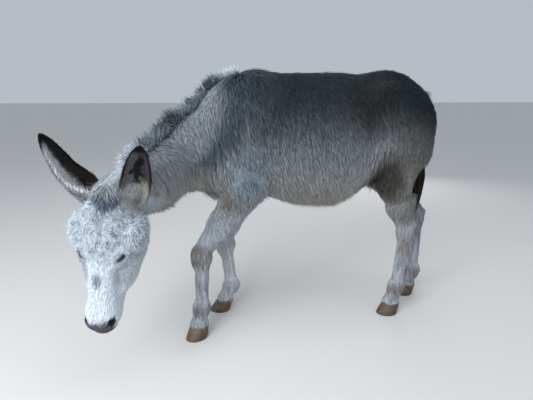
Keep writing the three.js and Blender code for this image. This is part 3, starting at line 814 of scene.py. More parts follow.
# %% Markings of the body
BAND = ((690, 746, 796, 866, 973, 1060), (-610, -562, -508, -446, -408, -386))  # heights, places
PATCHES = (  # place on one side, radii, softness, share, colour
    ((-540, 184, 690), (60, 110, 46), 0.7, 0.55, paint(180, 178, 172)),  # breast
    # painted shade: the elbow and the ledge over it are darkened where the front light catches the top of
    # the foreleg
    ((-372, 188, 690), (95, 90, 100), 0.8, 0.85, paint(148, 164, 178)),  # elbow
    ((-366, 188, 706), (66, 70, 30), 0.7, 0.60, paint(104, 118, 130)),  # ledge over the elbow
    # painted shade in the fold between breast and foreleg
    ((-468, 165, 612), (44, 70, 54), 0.8, 0.60, paint(112, 106, 102)),  # fold behind the breast
)


def body_markings(points, w, legs, broad, fine, streaks):
    """Pale, and warmer towards the belly. Over it lie the slate of back and rump, darkened further as
    painted shade on the top, the dark band down the shoulder, a mottled neck, and patches on both
    sides, of which those round the elbow and behind the breast are painted shade."""
    x, _, z = plan_place(points).T
    rough = 0.6 * broad + 0.4 * fine
    colour = over(np.tile(PALE, (len(points), 1)), ramp(-z, -800, -620) * 0.75 * (1 - legs), WARM)
    # the saddle: slate coat along the back, deepened with painted shade where the top gets little light
    saddle_and_top_shade = ramp(z + 25 * rough + 30 * streaks, 690, 990) * (1 - ramp(-x, 330, 470))
    colour = over(colour, w["trunk"] * saddle_and_top_shade * 0.94, SLATE_AND_TOP_SHADE)
    # the rump: slate coat on the croup, deepened in the same way with painted shade on top
    rump = ramp(z + 30 * rough + 25 * streaks, 620, 930) * ramp(x, 120, 300)
    colour = over(colour, (1 - w["head"]) * rump * 0.80, SLATE_AND_TOP_SHADE)
    from_band = np.abs(x - np.interp(z, *BAND) + 10 * fine + 14 * streaks)
    colour = over(colour, (1 - w["head"]) * ramp(-from_band, -88, -18) * ramp(z, 700, 800) * 0.80, SHADOW)
    colour = over(colour, w["neck"] * (0.04 + 0.26 * broad + 0.12 * streaks), SHADOW)
    for s in (-1, 1):
        for (along, aside, height), radii, edge, share, patch in PATCHES:
            here = spot(points, plan(along, s * aside, height), radii, edge)
            colour = over(colour, share * here, patch)
        hip = spot(points, plan(132, s * 155, 965), (92, 90, 84), 0.7)
        colour = over(colour, (0.6 + 0.14 * streaks) * hip, SMUDGE)
        thigh = spot(points, plan(206 + 60 * (s > 0), s * 180, 660), (64, 84, 104), 0.5)
        colour = over(colour, thigh * 0.5, paint(104, 94, 84))
        colour = over(colour, thigh * (1.15 + 0.1 * streaks) * ramp(z, 500, 600), SMUDGE)
    return colour


# %% Markings of the legs
def leg_markings(points, w, legs, colour, broad, fine, streaks):
    """Pale with a blue-grey bloom. Knees, hocks and fetlocks are stained, and the gaskins are brownish.
    The far foreleg, which the body shades, is painted paler with thinner stains: painted light."""
    x, y, z = plan_place(points).T
    rough = 0.6 * broad + 0.4 * fine
    colour = over(colour, legs * 0.92, paint(200, 208, 218))
    colour = over(colour, legs * (0.28 + 0.40 * streaks) * ramp(-z, -420, -300), LAVENDER)
    gaskin = ramp(x, 60, 200) * ramp(z + 40 * rough, 260, 520)
    colour = over(colour, w["legs"] * gaskin * (0.62 + 0.2 * rough), paint(104, 101, 92))
    colour = over(colour, legs * np.clip(0.10 + 0.5 * fine + 0.3 * broad, 0, 1), paint(124, 122, 128))
    # painted light: the far foreleg, which lies in the body's shade, is painted paler and its stains thinned
    far_leg_painted_light = 0.7 * (y > 0) * (x < 0)
    colour = over(colour, legs * far_leg_painted_light, paint(232, 238, 246))
    joints = ramp(-np.abs(z - 350), -75, -20) + 1.3 * ramp(-np.abs(z - 128), -34, -8)
    stain = joints * (1 - far_leg_painted_light) * (0.42 + 0.3 * rough + 0.1 * streaks)
    return over(colour, legs * stain, DIRTY)


# %% Markings of the head
def forehead_markings(points, head, colour, fine):
    """A slate forelock, and below it curls with painted shade in the gaps between them, along lines where a
    mottle is zero.
    """
    hx, hy, hz = head_place(points).T
    forelock = 1 - ramp(hx + 10 * fine + 0.5 * np.abs(hy - 14), 34, 62)
    forelock = forelock * ramp(-np.abs(hy - 14), -52, -30)
    colour = over(colour, head * forelock * 0.92, paint(52, 70, 92))
    curls = (1 - ramp(hx, 150, 270)) * ramp(hz, -110, -50)
    colour = over(colour, head * curls * (0.16 + 0.16 * fine), paint(150, 170, 192))
    # painted shade between the curls
    lines = 1 - ramp(np.abs(mottle(points, 0.017, 6)), 0.03, 0.15)
    colour = over(colour, head * (0.06 + 0.62 * curls) * lines, paint(66, 84, 108))
    parting = ramp(-np.abs(hy + 6 + 5 * fine), -9, -2) * ramp(hx, 50, 80) * (1 - ramp(hx, 120, 170))
    return over(colour, head * parting * ramp(hz, -60, -20) * 0.40, paint(140, 152, 166))


def muzzle_markings(points, head, colour, rough):
    """A dark end with a ragged border, and painted shade between the lips and in the nostrils."""
    hx, hy, _ = head_place(points).T
    border = 427 - 0.16 * hy + 0.06 * np.maximum(np.abs(hy) - 30, 0) ** 2
    end = ramp(hx + 12 * rough + 9 * mottle(points, 0.009, 8) - border, -17, 13)
    colour = over(colour, head * end * 0.92, MUZZLE)
    # painted shade in the slit between the lips
    colour = over(colour, by_mouth(points), paint(26, 20, 22))
    for s in SIDES:
        # painted shade inside each nostril
        nostril = spot(points, in_head(424, s * 41, -42), (19, 12, 15), 0.3, HEAD)
        colour = over(colour, nostril, paint(24, 19, 21))
    return colour


# how much of the dark rim each eye gets: the lids' dark margin deepened with painted shade
LID_RIM_SHARES = {-1: 0.35, 1: 0.85}


def eye_markings(points, colour):
    """Lids greyed with painted shade round the eye, darkening to a rim round the opening: the lids' own dark
    margin, deepened with painted shade.
    """
    for s in SIDES:
        opening = EYE_MIDDLE[s] + 16 * MM * EYE_LOOK[s]
        # painted shade greys the lids round the eye
        lid = 1 - ramp(np.linalg.norm(points - opening, axis=1) / MM, 14, 30)
        colour = over(colour, 0.6 * lid, paint(140, 150, 166))
        # the rim: the lids' own dark margin, deepened with painted shade in the opening
        rim = spot(points, opening, (19, 8.5, 14), 0.4, EYE_AXES[s])
        colour = over(colour, LID_RIM_SHARES[s] * rim, paint(64, 66, 76))
    return colour


def head_markings(points, head, colour, broad, fine, streaks):
    """Near white, with a dark forelock, grey cheeks, grey painted shade below the eyes, and between them a
    spot.
    """
    _, hy, hz = head_place(points).T
    colour = over(colour, head, WHITE)
    colour = forehead_markings(points, head, colour, fine)
    side = ramp(np.abs(hy), 66, 108) * ramp(-hz, 50, 110)
    colour = over(colour, head * side * (0.28 + 0.15 * broad), LAVENDER)
    for s in SIDES:
        # painted shade below each eye
        under_eye = spot(points, in_head(262, s * 60, -58), (46, 24, 40), 0.6, HEAD)
        colour = over(colour, under_eye * (0.48 + 0.12 * streaks), LAVENDER)
        ear_root = spot(points, in_head(16, s * 90, -36), (42, 36, 52), 0.5, HEAD)
        colour = over(colour, ear_root * (0.8 + 0.2 * fine) * head, paint(150, 149, 147))
    nose_spot = spot(points, in_head(284, -3, -12), (22, 15, 28), 0.7, HEAD)
    colour = over(colour, 0.75 * nose_spot, paint(108, 128, 148))
    colour = muzzle_markings(points, head, colour, 0.6 * broad + 0.4 * fine)
    return eye_markings(points, colour)


# %% All markings
def markings(points):
    """The colour of the coat at each point: the body's, with those of legs and head over it."""
    _, w = part_shares(points, 0.03)
    broad, fine = mottle(points, 0.11, 1), mottle(points, 0.03, 2)
    streaks = mottle(points * (1, 1, 0.22), 0.009, 5)
    height = plan_place(points)[:, 2]
    legs = w["legs"] * ramp(-height - 40 * (0.6 * broad + 0.4 * fine), -660, -470)
    colour = body_markings(points, w, legs, broad, fine, streaks)
    colour = leg_markings(points, w, legs, colour, broad, fine, streaks)
    colour = head_markings(points, w["head"], colour, broad, fine, streaks)
    streaky = 0.17 * (w["trunk"] + w["neck"] + w["dock"])
    return np.clip(colour * (1 + streaky * streaks)[:, None], 0, 1)


def write_numbers(mesh, name, values):
    """Keeps one number for each point of a mesh."""
    layer = mesh.attributes.new(name, "FLOAT", "POINT")
    layer.data.foreach_set("value", values.astype(np.float32))


def write_colours(mesh, name, colours):
    """Keeps one colour for each point of a mesh."""
    layer = mesh.attributes.new(name, "FLOAT_COLOR", "POINT")
    rgba = np.concatenate((colours, np.ones((len(colours), 1))), 1)
    layer.data.foreach_set("color", rgba.astype(np.float32).ravel())


# %% Finish of the skin
hide = Finish("hide", Roughness=0.8)
hide.shader.inputs["Specular IOR Level"].default_value = 0.25
grain = hide.noise(420, 3, (1, 1, 0.35))
hide.give("Base Color", hide.scaled(hide.attribute("markings", "Color"), 0.70 + 0.24 * grain))
hide.give("Normal", hide.bump(grain, 0.0012, 0.8))
skin.data.materials.clear()
skin.data.materials.append(hide.material)


# %% Finish of the coat
def coat_finish(name, root_shade):
    """Hair: the marking's colour, with painted shade towards the root where the locks cover each other, and
    a little different on every lock.
    """
    coat = Finish(name, Roughness=0.75)
    coat.shader.inputs["Specular IOR Level"].default_value = 0.2
    coat.shader.inputs["Sheen Weight"].default_value = 0.04
    along = coat.attribute("along").ramp(0.0, 0.7)
    # painted shade at the root: root_shade of the colour there, the full colour from seven tenths along
    shade = (root_shade + (1 - root_shade) * along) * (0.87 + 0.24 * coat.attribute("lock"))
    coat.give("Base Color", coat.scaled(coat.attribute("markings", "Color"), shade))
    return coat.material


hair = coat_finish("coat_hair", 0.62)
face_hair = coat_finish("face_hair", 0.70)

# %% [markdown]
# ## Surfaces on a grid
#
# Lids, eyeballs, hooves and ears are each a grid of points, worked out whole by a formula of two
# parameters. One helper turns such a grid into a mesh: it joins neighbours into quads, goes round
# from the last column to the first, and can shut its two ends.

# %% From a grid of points to a mesh
def grid_faces(rows, columns):
    """The quads of a grid whose columns close to a ring, as rows of four point numbers."""
    i, j = np.meshgrid(np.arange(rows - 1), np.arange(columns), indexing="ij")
    a, b = i * columns + j, i * columns + (j + 1) % columns
    return np.stack((a, b, b + columns, a + columns), -1).reshape(-1, 4)


def surface(name, grid, finish, shut=True):
    """A mesh object from a grid of points. An end that is shut gets one face."""
    rows, columns, _ = grid.shape
    faces = grid_faces(rows, columns).tolist()
    if shut:
        faces.append(list(range(columns))[::-1])
        faces.append(list(range((rows - 1) * columns, rows * columns)))
    mesh = bpy.data.meshes.new(name)
    mesh.from_pydata(grid.reshape(-1, 3).tolist(), [], faces)
    join_doubles(mesh, 0.001 * MM, outwards=True)
    mesh.polygons.foreach_set("use_smooth", np.ones(len(mesh.polygons), bool))
    mesh.materials.append(finish.material)
    return add_piece(name, mesh)


# %% [markdown]
# ## Eyes and lids
#
# The eyeball is a ball with a slightly raised clear front. A donkey's iris is so dark that it is
# hard to tell from the wide pupil. Two lids lie on the ball: a ring that starts at the almond edge
# of the opening, rolls over a thick margin, and runs out into the skin. The head hangs, so the eye
# is half shut.

# %% Eyeballs
ball_finish = Finish("eyeball", Roughness=0.06)
ball_finish.shader.inputs["Coat Weight"].default_value = 0.6
ball_finish.shader.inputs["Coat Roughness"].default_value = 0.03
iris = ball_finish.attribute("iris")
ball_finish.give("Base Color", ball_finish.blend(
    iris, (0.004, 0.003, 0.003, 1), (0.030, 0.014, 0.007, 1)))
IRIS, PUPIL = (11, 9), (7.5, 3.6)  # half the length and half the height, mm


def eyeball(s):
    """A ball in rings round the way the eye faces: the rows' angle runs from front to back and the
    columns' angle around. The clear cornea raises the front by up to a twenty-fifth."""
    polar = np.linspace(0.02, math.pi - 0.02, 28)[:, None]
    around = np.linspace(0, 2 * math.pi, 48, endpoint=False)[None, :]
    radius = EYE_RADIUS * (0.985 + 0.04 * np.exp(-((polar / 0.5) ** 2))) + 0 * around
    ball = np.stack((radius * np.sin(polar) * np.cos(around), radius * np.sin(polar) * np.sin(around),
                     radius * np.cos(polar) + 0 * around), -1)
    made = surface("eyeball_" + SIDES[s], EYE_MIDDLE[s] + ball @ EYE_AXES[s], ball_finish)
    along, across, _ = eye_place(s, read_points(made.data))
    from_iris = np.hypot(along / IRIS[0], across / IRIS[1])
    from_pupil = np.hypot(along / PUPIL[0], across / PUPIL[1])
    write_numbers(made.data, "iris", ramp(from_pupil, 0.9, 1.15) * (1 - ramp(from_iris, 0.85, 1.05)))
    return made


eyes = {s: eyeball(s) for s in SIDES}


# %% Lids
LID_ROWS, LID_COLUMNS = 18, 72
OPENING = 15.5, 5.2, 3.6  # half the length, and how far the upper and lower lids are open, mm
LID_RIM = 30, 25  # half the length and half the height of the ring's outer edge, mm
LID_THICK = 2.2


def lid_ring(s):
    """Rows run out from the opening, columns around it. The first rows stand on the eyeball at the
    almond edge and roll up by the lid's thickness. The last row lies just under the skin. Between
    them the ring passes from the ball's shape to the skin's by an S curve, with creases over it, and
    nowhere comes nearer to the ball than its thickness."""
    turn = np.linspace(0, 2 * math.pi, LID_COLUMNS, endpoint=False)[None, :]
    out = np.linspace(0, 1, LID_ROWS)[:, None] ** 1.2
    long, upper, lower = OPENING
    height = np.where(np.sin(turn) > 0, upper, lower)
    almond = np.stack((long * np.cos(turn), height * np.sin(turn) * np.abs(np.sin(turn)) ** 0.35))
    rim = np.stack((LID_RIM[0] * np.cos(turn), LID_RIM[1] * np.sin(turn)))
    a, b = mix(almond, rim, out)
    thick = mix(0.4, LID_THICK, ramp(out, 0, 0.10)) + 0 * turn
    crease = np.exp(-(((out - 0.36) / 0.05) ** 2)) * np.where(np.sin(turn) > 0, 1.3, 0.7)
    crease = crease + 0.6 * np.exp(-(((out - 0.58) / 0.05) ** 2)) * np.abs(np.sin(turn))
    radius = EYE_RADIUS / MM + thick - crease
    c = np.sqrt(np.maximum(radius**2 - a**2 - b**2, 25))
    middle = EYE_MIDDLE[s]
    on_ball = middle + np.stack((a, b, c), -1) @ EYE_AXES[s] * MM
    start = middle + np.stack((a, b, c * 0 + 20), -1) @ EYE_AXES[s] * MM
    on_skin = settled(bare_level, start.reshape(-1, 3), 7).reshape(start.shape)
    sunk = on_skin + (EYE_LOOK[s] * -LID_THICK * MM) * ramp(out, 0.8, 1)[..., None]
    lid = mix(on_ball, sunk, ramp(out, 0.10, 0.50)[..., None]) - middle
    least = (EYE_RADIUS + thick * MM)[..., None] / np.linalg.norm(lid, axis=-1, keepdims=True)
    return middle + lid * np.maximum(least, 1)


lids = [surface("lids_" + SIDES[s], lid_ring(s), hide, shut=False) for s in SIDES]

# %% [markdown]
# ## Hooves
#
# A donkey's hoof is narrow and steep. Its wall is a loft of egg-shaped sections, from the flat sole
# to just inside the hair of the coronet, with shallow growth rings.

# %% Hooves
horn = Finish("horn", Roughness=0.5)
bands = horn.noise(60, 4, (0.15, 0.15, 6))
mud = horn.noise(34, 3)
low = horn.node("ShaderNodeSeparateXYZ", None, {0: horn.place()}, output=2).ramp(0.028, 0.002)
horn_colour = horn.blend(bands, (*paint(74, 58, 47), 1), (*paint(112, 92, 74), 1))
horn.give("Base Color", horn.blend(mud.ramp(0.42, 0.72) * 0.7 + 0.25 * low, horn_colour,
                                   (*paint(58, 47, 39), 1)))
horn.give("Roughness", 0.45 + 0.3 * mud)
horn.give("Normal", horn.bump(bands, 0.0008, 0.7))

HOOF_SECTIONS = np.array((  # height, half length, half width, how far forward, mm
    (0, 50.5, 39.8, 2), (1.2, 52, 41, 2), (14, 49.6, 40.8, 0.6), (42, 43, 40, -3), (52, 41, 38, -4),
    (60, 36, 33, -5)))
FEET = ("fore_left", "fore_right", "hind_left", "hind_right")


def hoof(name, fetlock, sole):
    """Height runs in rows and the angle from the toe in columns. The outline is an egg: cosine
    along the toe, shortened at the heel, and sine across. Rings are a small ripple in height."""
    toe, coronet = foot_line(fetlock, sole)
    across = np.cross(toe, UP)
    height = np.concatenate(((0,), np.linspace(HOOF_SECTIONS[1, 0], HOOF_SECTIONS[-1, 0], 34)))
    long, half, forward = (np.interp(height, HOOF_SECTIONS[:, 0], HOOF_SECTIONS[:, k]) for k in (1, 2, 3))
    ripple = 0.45 * np.sin(height * 0.75) * ramp(height, 3, 10)
    angle = np.linspace(0, 2 * math.pi, 56, endpoint=False)[None, :]
    heel = np.where(np.cos(angle) < 0, 0.84, 1)
    heel = heel - 0.10 * np.exp(-(((angle - math.pi) / 0.22) ** 2))  # the cleft between the bulbs
    along = (long + ripple)[:, None] * np.cos(angle) * heel + forward[:, None]
    wide = (half + ripple)[:, None] * np.sin(angle)
    middle = sole + (coronet - sole) * (height * MM / HOOF_HEIGHT)[:, None]
    middle[:, 2] = height * MM
    grid = middle[:, None] + (along[..., None] * toe + wide[..., None] * across) * MM
    return surface("horn_" + name, grid, horn)


hooves = {}
for name, (*_, fetlock, sole) in zip(FEET, FORELEGS + HINDLEGS):
    hooves[name] = hoof(name, plan(*fetlock), plan(*sole))
print("hooves:", ", ".join(hooves))

# %% [markdown]
# ## Ears
#
# A donkey's ear is a long leaf of gristle, wrapped almost into a tube at its root and open towards
# its tip. It is thin, so it is drawn as a closed shell: out along the back of the leaf, over the
# rim, and back along the hollow.

# %% Ears
EARS = {  # side of the head: where the tip points to, and which way the hollow opens
    1: (plan(-728, -505, 845), (-0.07, -0.81, -0.57)),
    -1: (plan(-1013, -422, 882), (0.75, -0.60, 0.30)),
}
EAR_LENGTH, EAR_HALF = 252, 51  # from the root's middle to the tip, and half the width, mm
EAR_HIDDEN = 34  # how far the leaf reaches into the head
EAR_ROWS, EAR_STEPS = 56, 30  # stations along the ear, and points on each side of the leaf


def ear_frame(s):
    """The ear's root, and its axes along, out of the hollow, and across."""
    towards, opening = EARS[s]
    root = in_head(20, s * 78, -80)
    axis = unit(towards - root)
    opening = np.array(opening)
    hollow = unit(opening - opening @ axis * axis)
    return root, axis, hollow, np.cross(axis, hollow)


def ear_half(t):
    """Half the width in mm at a share of the length: a sine that is skewed to the root and rounded
    at the tip, narrowed over the first part."""
    swell = np.sin(math.pi * mix(0.16, 1, np.clip(t, 0, 1)) ** 0.72).clip(0) ** 0.55
    return mix(2.5, EAR_HALF - 2.5, swell * mix(0.72, 1, ramp(2.5 * t, 0, 1)))


def leaf(s, t, turn, inner):
    """A point of the leaf at share t of its length and at `turn`, from -1 at one rim to 1 at the
    other: an arc whose radius gives the leaf's half width, and `inner` is 0 on its back, 1 in its
    hollow."""
    root, axis, hollow, across = ear_frame(s)
    half = ear_half(t)
    wrap = np.radians(mix(150, 68, ramp(2 * t, 0, 1)))
    radius = half / np.sin(np.minimum(wrap, math.pi / 2))
    wall = mix(6.5, 3.2, t) * (1 - 0.55 * np.abs(turn) ** 4)
    wavy = 1.6 * np.sin(9 * t + 2 * turn + s) * np.abs(turn) ** 2
    r = np.maximum(radius - wall * inner, radius * 0.35)
    bow = radius * 0.62 - 18 * np.sin(math.pi * t)
    angle = turn * wrap
    along = mix(-EAR_HIDDEN, EAR_LENGTH - 4, t)
    depth = bow - r * np.cos(angle) + wavy
    return (root + along[..., None] * axis * MM + depth[..., None] * hollow * MM
            + (r * np.sin(angle))[..., None] * across * MM)


def ear(s):
    """Rows along the ear; columns over its back, then back through its hollow."""
    t = np.linspace(0, 1, EAR_ROWS)[:, None] ** 0.92
    turn = np.sin(np.linspace(-1, 1, EAR_STEPS) * math.pi / 2)
    turns = np.concatenate((turn, turn[::-1]))[None, :]
    inner = np.repeat((0.0, 1.0), EAR_STEPS)[None, :]
    grid = leaf(s, t + 0 * turns, turns + 0 * t, inner + 0 * t)
    return surface("ear_leaf_" + SIDES[s], grid, hide)


# %% Markings of the ears
BLACK = paint(14, 12, 13)
WOOL = paint(186, 184, 178)


def ear_place(s, points):
    """Share of the ear's length and how far towards the rims, -1 to 1, of points near it."""
    root, axis, _, across = ear_frame(s)
    q = (points - root) / MM
    t = (q @ axis + EAR_HIDDEN) / (EAR_LENGTH - 4 + EAR_HIDDEN)
    return t, q @ across / ear_half(t)


def ear_markings(s, points, inside):
    """Black tip and rim, a brown back that pales to the base, and a grey hollow. The left hollow has
    a dark cleft down its middle, painted shade deep in the hollow. The right one is brown along its
    upper side and pale along its lower."""
    t, edge = ear_place(s, points)
    rough = 0.6 * mottle(points, 0.03, 3) + 0.4 * mottle(points, 0.011, 4)
    grey = np.tile(paint(150, 150, 150), (len(points), 1))
    back = over(grey, ramp(-t + 0.1 * rough, -0.34, -0.08), PALE)
    band = ramp(edge * -s + 0.15 * rough, -0.35, 0.35)
    back = over(back, band * ramp(t, 0.10, 0.30), paint(70, 60, 54))
    back = over(back, ramp(t + 0.08 * rough, 0.74, 0.90), BLACK)
    rim = np.abs(edge) if s > 0 else np.maximum(edge, -edge - 1 + ramp(t, 0.7, 0.9))
    back = over(back, ramp(rim + 0.06 * rough, 0.84, 0.98) * ramp(t, 0.25, 0.5), BLACK)
    front = mix(paint(120, 122, 126), paint(72, 75, 82), ramp(edge, -0.3, 0.3)[:, None])
    front = over(front, ramp(-t + 0.12 * rough, -0.46, -0.20), WOOL)
    if s > 0:
        branch = 0.7 * mottle(points, 0.014, 9)
        # painted shade: the dark cleft stands for the shade deep in the left ear's hollow
        cleft = 1 - ramp(np.abs(edge + 0.25 * rough) + 0.5 * branch, 0.18, 0.38)
        cleft = cleft * ramp(t + 0.1 * branch, 0.14, 0.30) * ramp(-t, -0.86, -0.70)
        front = over(front, cleft * 0.95, paint(12, 11, 13))
    else:
        upper = edge + 0.15 * rough
        front = over(front, 1 - ramp(upper, 0.1, 0.4), paint(236, 240, 244))
        front = over(front, ramp(upper, 0.34, 0.58) * ramp(t, 0.06, 0.16), paint(44, 40, 38))
    front = over(front, ramp(rim + 0.05 * rough, 0.80, 0.94) * ramp(t, 0.2, 0.42), BLACK)
    front = over(front, ramp(t + 0.06 * rough, 0.80, 0.91), BLACK)
    return mix(back, front, inside[:, None])


def ear_inside(s, points, normals):
    """1 where a surface of the ear faces its hollow, 0 on its back."""
    _, _, hollow, across = ear_frame(s)
    _, edge = ear_place(s, points)
    towards = hollow - across * np.clip(edge, -1, 1)[:, None] * 0.8
    return ramp((normals * unit(towards)).sum(1), -0.15, 0.15)


ears = {s: ear(s) for s in SIDES}
for s, piece in ears.items():
    points = read_points(piece.data)
    inside = ear_inside(s, points, read_normals(piece.data))
    write_colours(piece.data, "markings", ear_markings(s, points, inside))


# %% Painting skin and lids
for piece in (skin, *lids):
    write_colours(piece.data, "markings", markings(read_points(piece.data)))
print("painted", len(skin.data.vertices), "points of the skin")

# %% [markdown]
# ## The coat
#
# Hair that is drawn strand by strand would be too much, and a bump alone would leave the outline
# bare. So the coat is made of locks: slim three-sided spikes that leave the skin at a low angle,
# bend down again and overlap like thatch. All locks of a piece are worked out at once, as arrays.

# %% Locks
def lock_faces(rings):
    """The triangles of one lock: three sides between rings, a tip and a root."""
    faces = []
    for r in range(rings - 1):
        for k in range(3):
            a, b = r * 3 + k, r * 3 + (k + 1) % 3
            faces += [(a, b, b + 3), (a, b + 3, a + 3)]
    top = (rings - 1) * 3
    faces += [(top + k, top + (k + 1) % 3, top + 3) for k in range(3)]
    return np.array(faces + [(0, 2, 1)])


def lock_lines(root, normal, lie, length, rings, lift, droop, wave, pull=None):
    """Middle lines of many locks, as (locks, points, 3). A line starts under the skin, by a
    twentieth of its length but 1.5 mm at most. It rises by the angle `lift` from the lie of the
    hair and falls by `droop` times the square of the way; `wave` swings it sideways and `pull`
    draws its tip along."""
    lift, droop, wave, length = (np.broadcast_to(x, len(root))[:, None] for x in (lift, droop, wave, length))
    side = unit(np.cross(normal, lie))
    t = np.linspace(0, 1, rings + 1)[None, :] ** 0.9
    forward = length * t * np.cos(lift)
    rise = length * (t * np.sin(lift) - droop * t**2) - np.minimum(0.05 * length, 1.5 * MM)
    swing = length * wave * np.sin(2.6 * t) * t
    line = (root[:, None] + forward[..., None] * lie[:, None] + rise[..., None] * normal[:, None]
            + swing[..., None] * side[:, None])
    return line if pull is None else line + (t**2)[..., None] * pull[:, None]


CORNERS = ((0.5, -0.25), (0.0, 0.75), (-0.5, -0.25))  # of a lock's section: across and up


THICK = 0.5  # of a lock, as a share of its width


def lock_points(line, side, up, width):
    """Rings of three points round each middle line, which taper as the square root of the way left,
    and one point at the tip."""
    n, count, _ = line.shape
    rings = count - 1
    taper = np.sqrt(1 - np.arange(rings) / (rings + 0.6))
    w = np.broadcast_to(width, n)[:, None, None] * taper[None, :, None]
    points = np.empty((n, rings * 3 + 1, 3))
    for k, (across, rise) in enumerate(CORNERS):
        points[:, k : rings * 3 : 3] = (line[:, :-1] + across * w * side[:, None]
                                        + rise * THICK * w * up[:, None])
    points[:, -1] = line[:, -1]
    return points


UV_PATCH = 0.003  # size of a lock's own patch of the map


def lock_mesh(name, points, colours, place_uv, seed, finish):
    """One mesh of many locks. Each keeps its marking, a random number of its own, how far along
    it each point lies, and a small patch of the map at its root's place."""
    n, each, _ = points.shape
    rings = each // 3
    faces = (lock_faces(rings)[None] + (np.arange(n) * each)[:, None, None]).reshape(-1, 3)
    mesh = bpy.data.meshes.new(name)
    mesh.vertices.add(n * each)
    mesh.vertices.foreach_set("co", points.astype(np.float32).ravel())
    mesh.loops.add(faces.size)
    mesh.loops.foreach_set("vertex_index", faces.astype(np.int32).ravel())
    mesh.polygons.add(len(faces))
    mesh.polygons.foreach_set("loop_start", np.arange(0, faces.size, 3, dtype=np.int32))
    mesh.polygons.foreach_set("use_smooth", np.ones(len(faces), bool))
    along = np.concatenate((np.repeat(np.arange(rings) / rings, 3), (1.0,)))
    rank = np.arange(n)[:, None] * np.ones(3, np.int64)
    write_numbers(mesh, "along", np.tile(along, n))
    write_numbers(mesh, "lock", np.repeat(cell_random(rank, seed), each))
    write_colours(mesh, "markings", np.repeat(colours, each, 0))
    corner = np.concatenate((np.tile((-0.5, 0.0, 0.5), rings), (0.0,)))
    patch = np.stack((corner, along - 0.5), 1) * UV_PATCH
    uv = (place_uv[:, None] + patch[None]).reshape(-1, 2)[faces.ravel()]
    mesh.uv_layers.new(name="OFBake").data.foreach_set("uv", uv.astype(np.float32).ravel())
    mesh.update(calc_edges=True)
    mesh.materials.append(finish)
    made = add_piece(name, mesh)
    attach(made, "root")
    print(f"{name}: {n} locks, {len(faces)} triangles")
    return made


# %% [markdown]
# ### A map of the skin
#
# The locks need a place on a flat map of the skin. Each part of the body is close to a tube, so it
# is slit along its length and unrolled: the way along its axis runs up the map and the angle round
# it runs across. The parts' rectangles share one square.

# %% Unrolling the body
AXES = {  # part or leg: its axis, and its rectangle in the map: left, low, right, high
    "trunk": ([plan(-560, 0, 760), plan(-300, 0, 800), plan(300, 0, 830), plan(450, 0, 830)],
              (0.01, 0.01, 0.66, 0.50)),
    "neck": ([plan(-380, 0, 900), NECK[1][0], NECK[2][0], plan(-840, -370, 655)],
             (0.68, 0.01, 0.99, 0.27)),
    "head": ([in_head(-60, 0, -90), in_head(250, 0, -85), in_head(480, 0, -80)],
             (0.68, 0.29, 0.99, 0.55)),
    "dock": (DOCK, (0.90, 0.58, 0.97, 0.75)),
}
LEG_STRIP = 0.165  # width of a leg's rectangle, with its gap
for i, (_, top, *joints) in enumerate(FORELEGS + HINDLEGS):
    AXES["leg", i] = ([moved(plan(*top), 0, 0, 80), *(plan(*j) for j in joints)],
                      (0.01 + LEG_STRIP * i, 0.52, LEG_STRIP + LEG_STRIP * i, 0.99))


SEAM = (0.31, 0.93, 0.19)  # no axis runs this way, so it gives each a side where the angle starts


def tube_place(points, axis):
    """Share of the way along an axis of straight pieces, the angle round it, both 0 to 1, and the
    distance from it."""
    axis = np.array(axis)
    reach = np.linalg.norm(np.diff(axis, axis=0), axis=1)
    best = np.full(len(points), AWAY)
    share, angle = np.zeros(len(points)), np.zeros(len(points))
    for a, b, before, length in zip(axis, axis[1:], np.cumsum(reach) - reach, reach):
        along = (b - a) / length
        s = np.clip((points - a) @ along, 0, length)
        q = points - a - s[:, None] * along
        far = np.linalg.norm(q, axis=1)
        u = unit(np.cross(along, SEAM))
        w = np.cross(along, u)
        nearer = far < best
        best = np.where(nearer, far, best)
        share = np.where(nearer, (before + s) / reach.sum(), share)
        angle = np.where(nearer, np.arctan2(q @ w, q @ u) / (2 * math.pi) + 0.5, angle)
    return share, angle, best


def map_place(points, parts):
    """Each point's place on the map, in the rectangle of its nearest part."""
    owner = parts.argmin(1)
    uv = np.zeros((len(points), 2))
    leg_distance = np.stack([tube_place(points, AXES["leg", i][0])[2] for i in range(4)], 1)
    for key, (axis, (left, low, right, high)) in AXES.items():
        if isinstance(key, tuple):
            mine = (owner == PARTS.index("legs")) & (leg_distance.argmin(1) == key[1])
        else:
            mine = owner == PARTS.index(key)
        share, angle, _ = tube_place(points[mine], axis)
        uv[mine] = np.stack((mix(left, right, angle), mix(low, high, share)), 1)
    return uv


# %% [markdown]
# ### The lie of the coat
#
# Hair lies back and down on the body, down the legs and down the nose. On the forehead it falls to
# both sides of a parting. The rule gives a wish for every point, and what of it runs along the
# surface is the lie. A slow random swing parts the coat into streaks.

# %% The lie
def along_surface(wish, normals):
    """What of each wish runs along the surface, as a direction."""
    return unit(wish - (wish * normals).sum(1, keepdims=True) * normals)


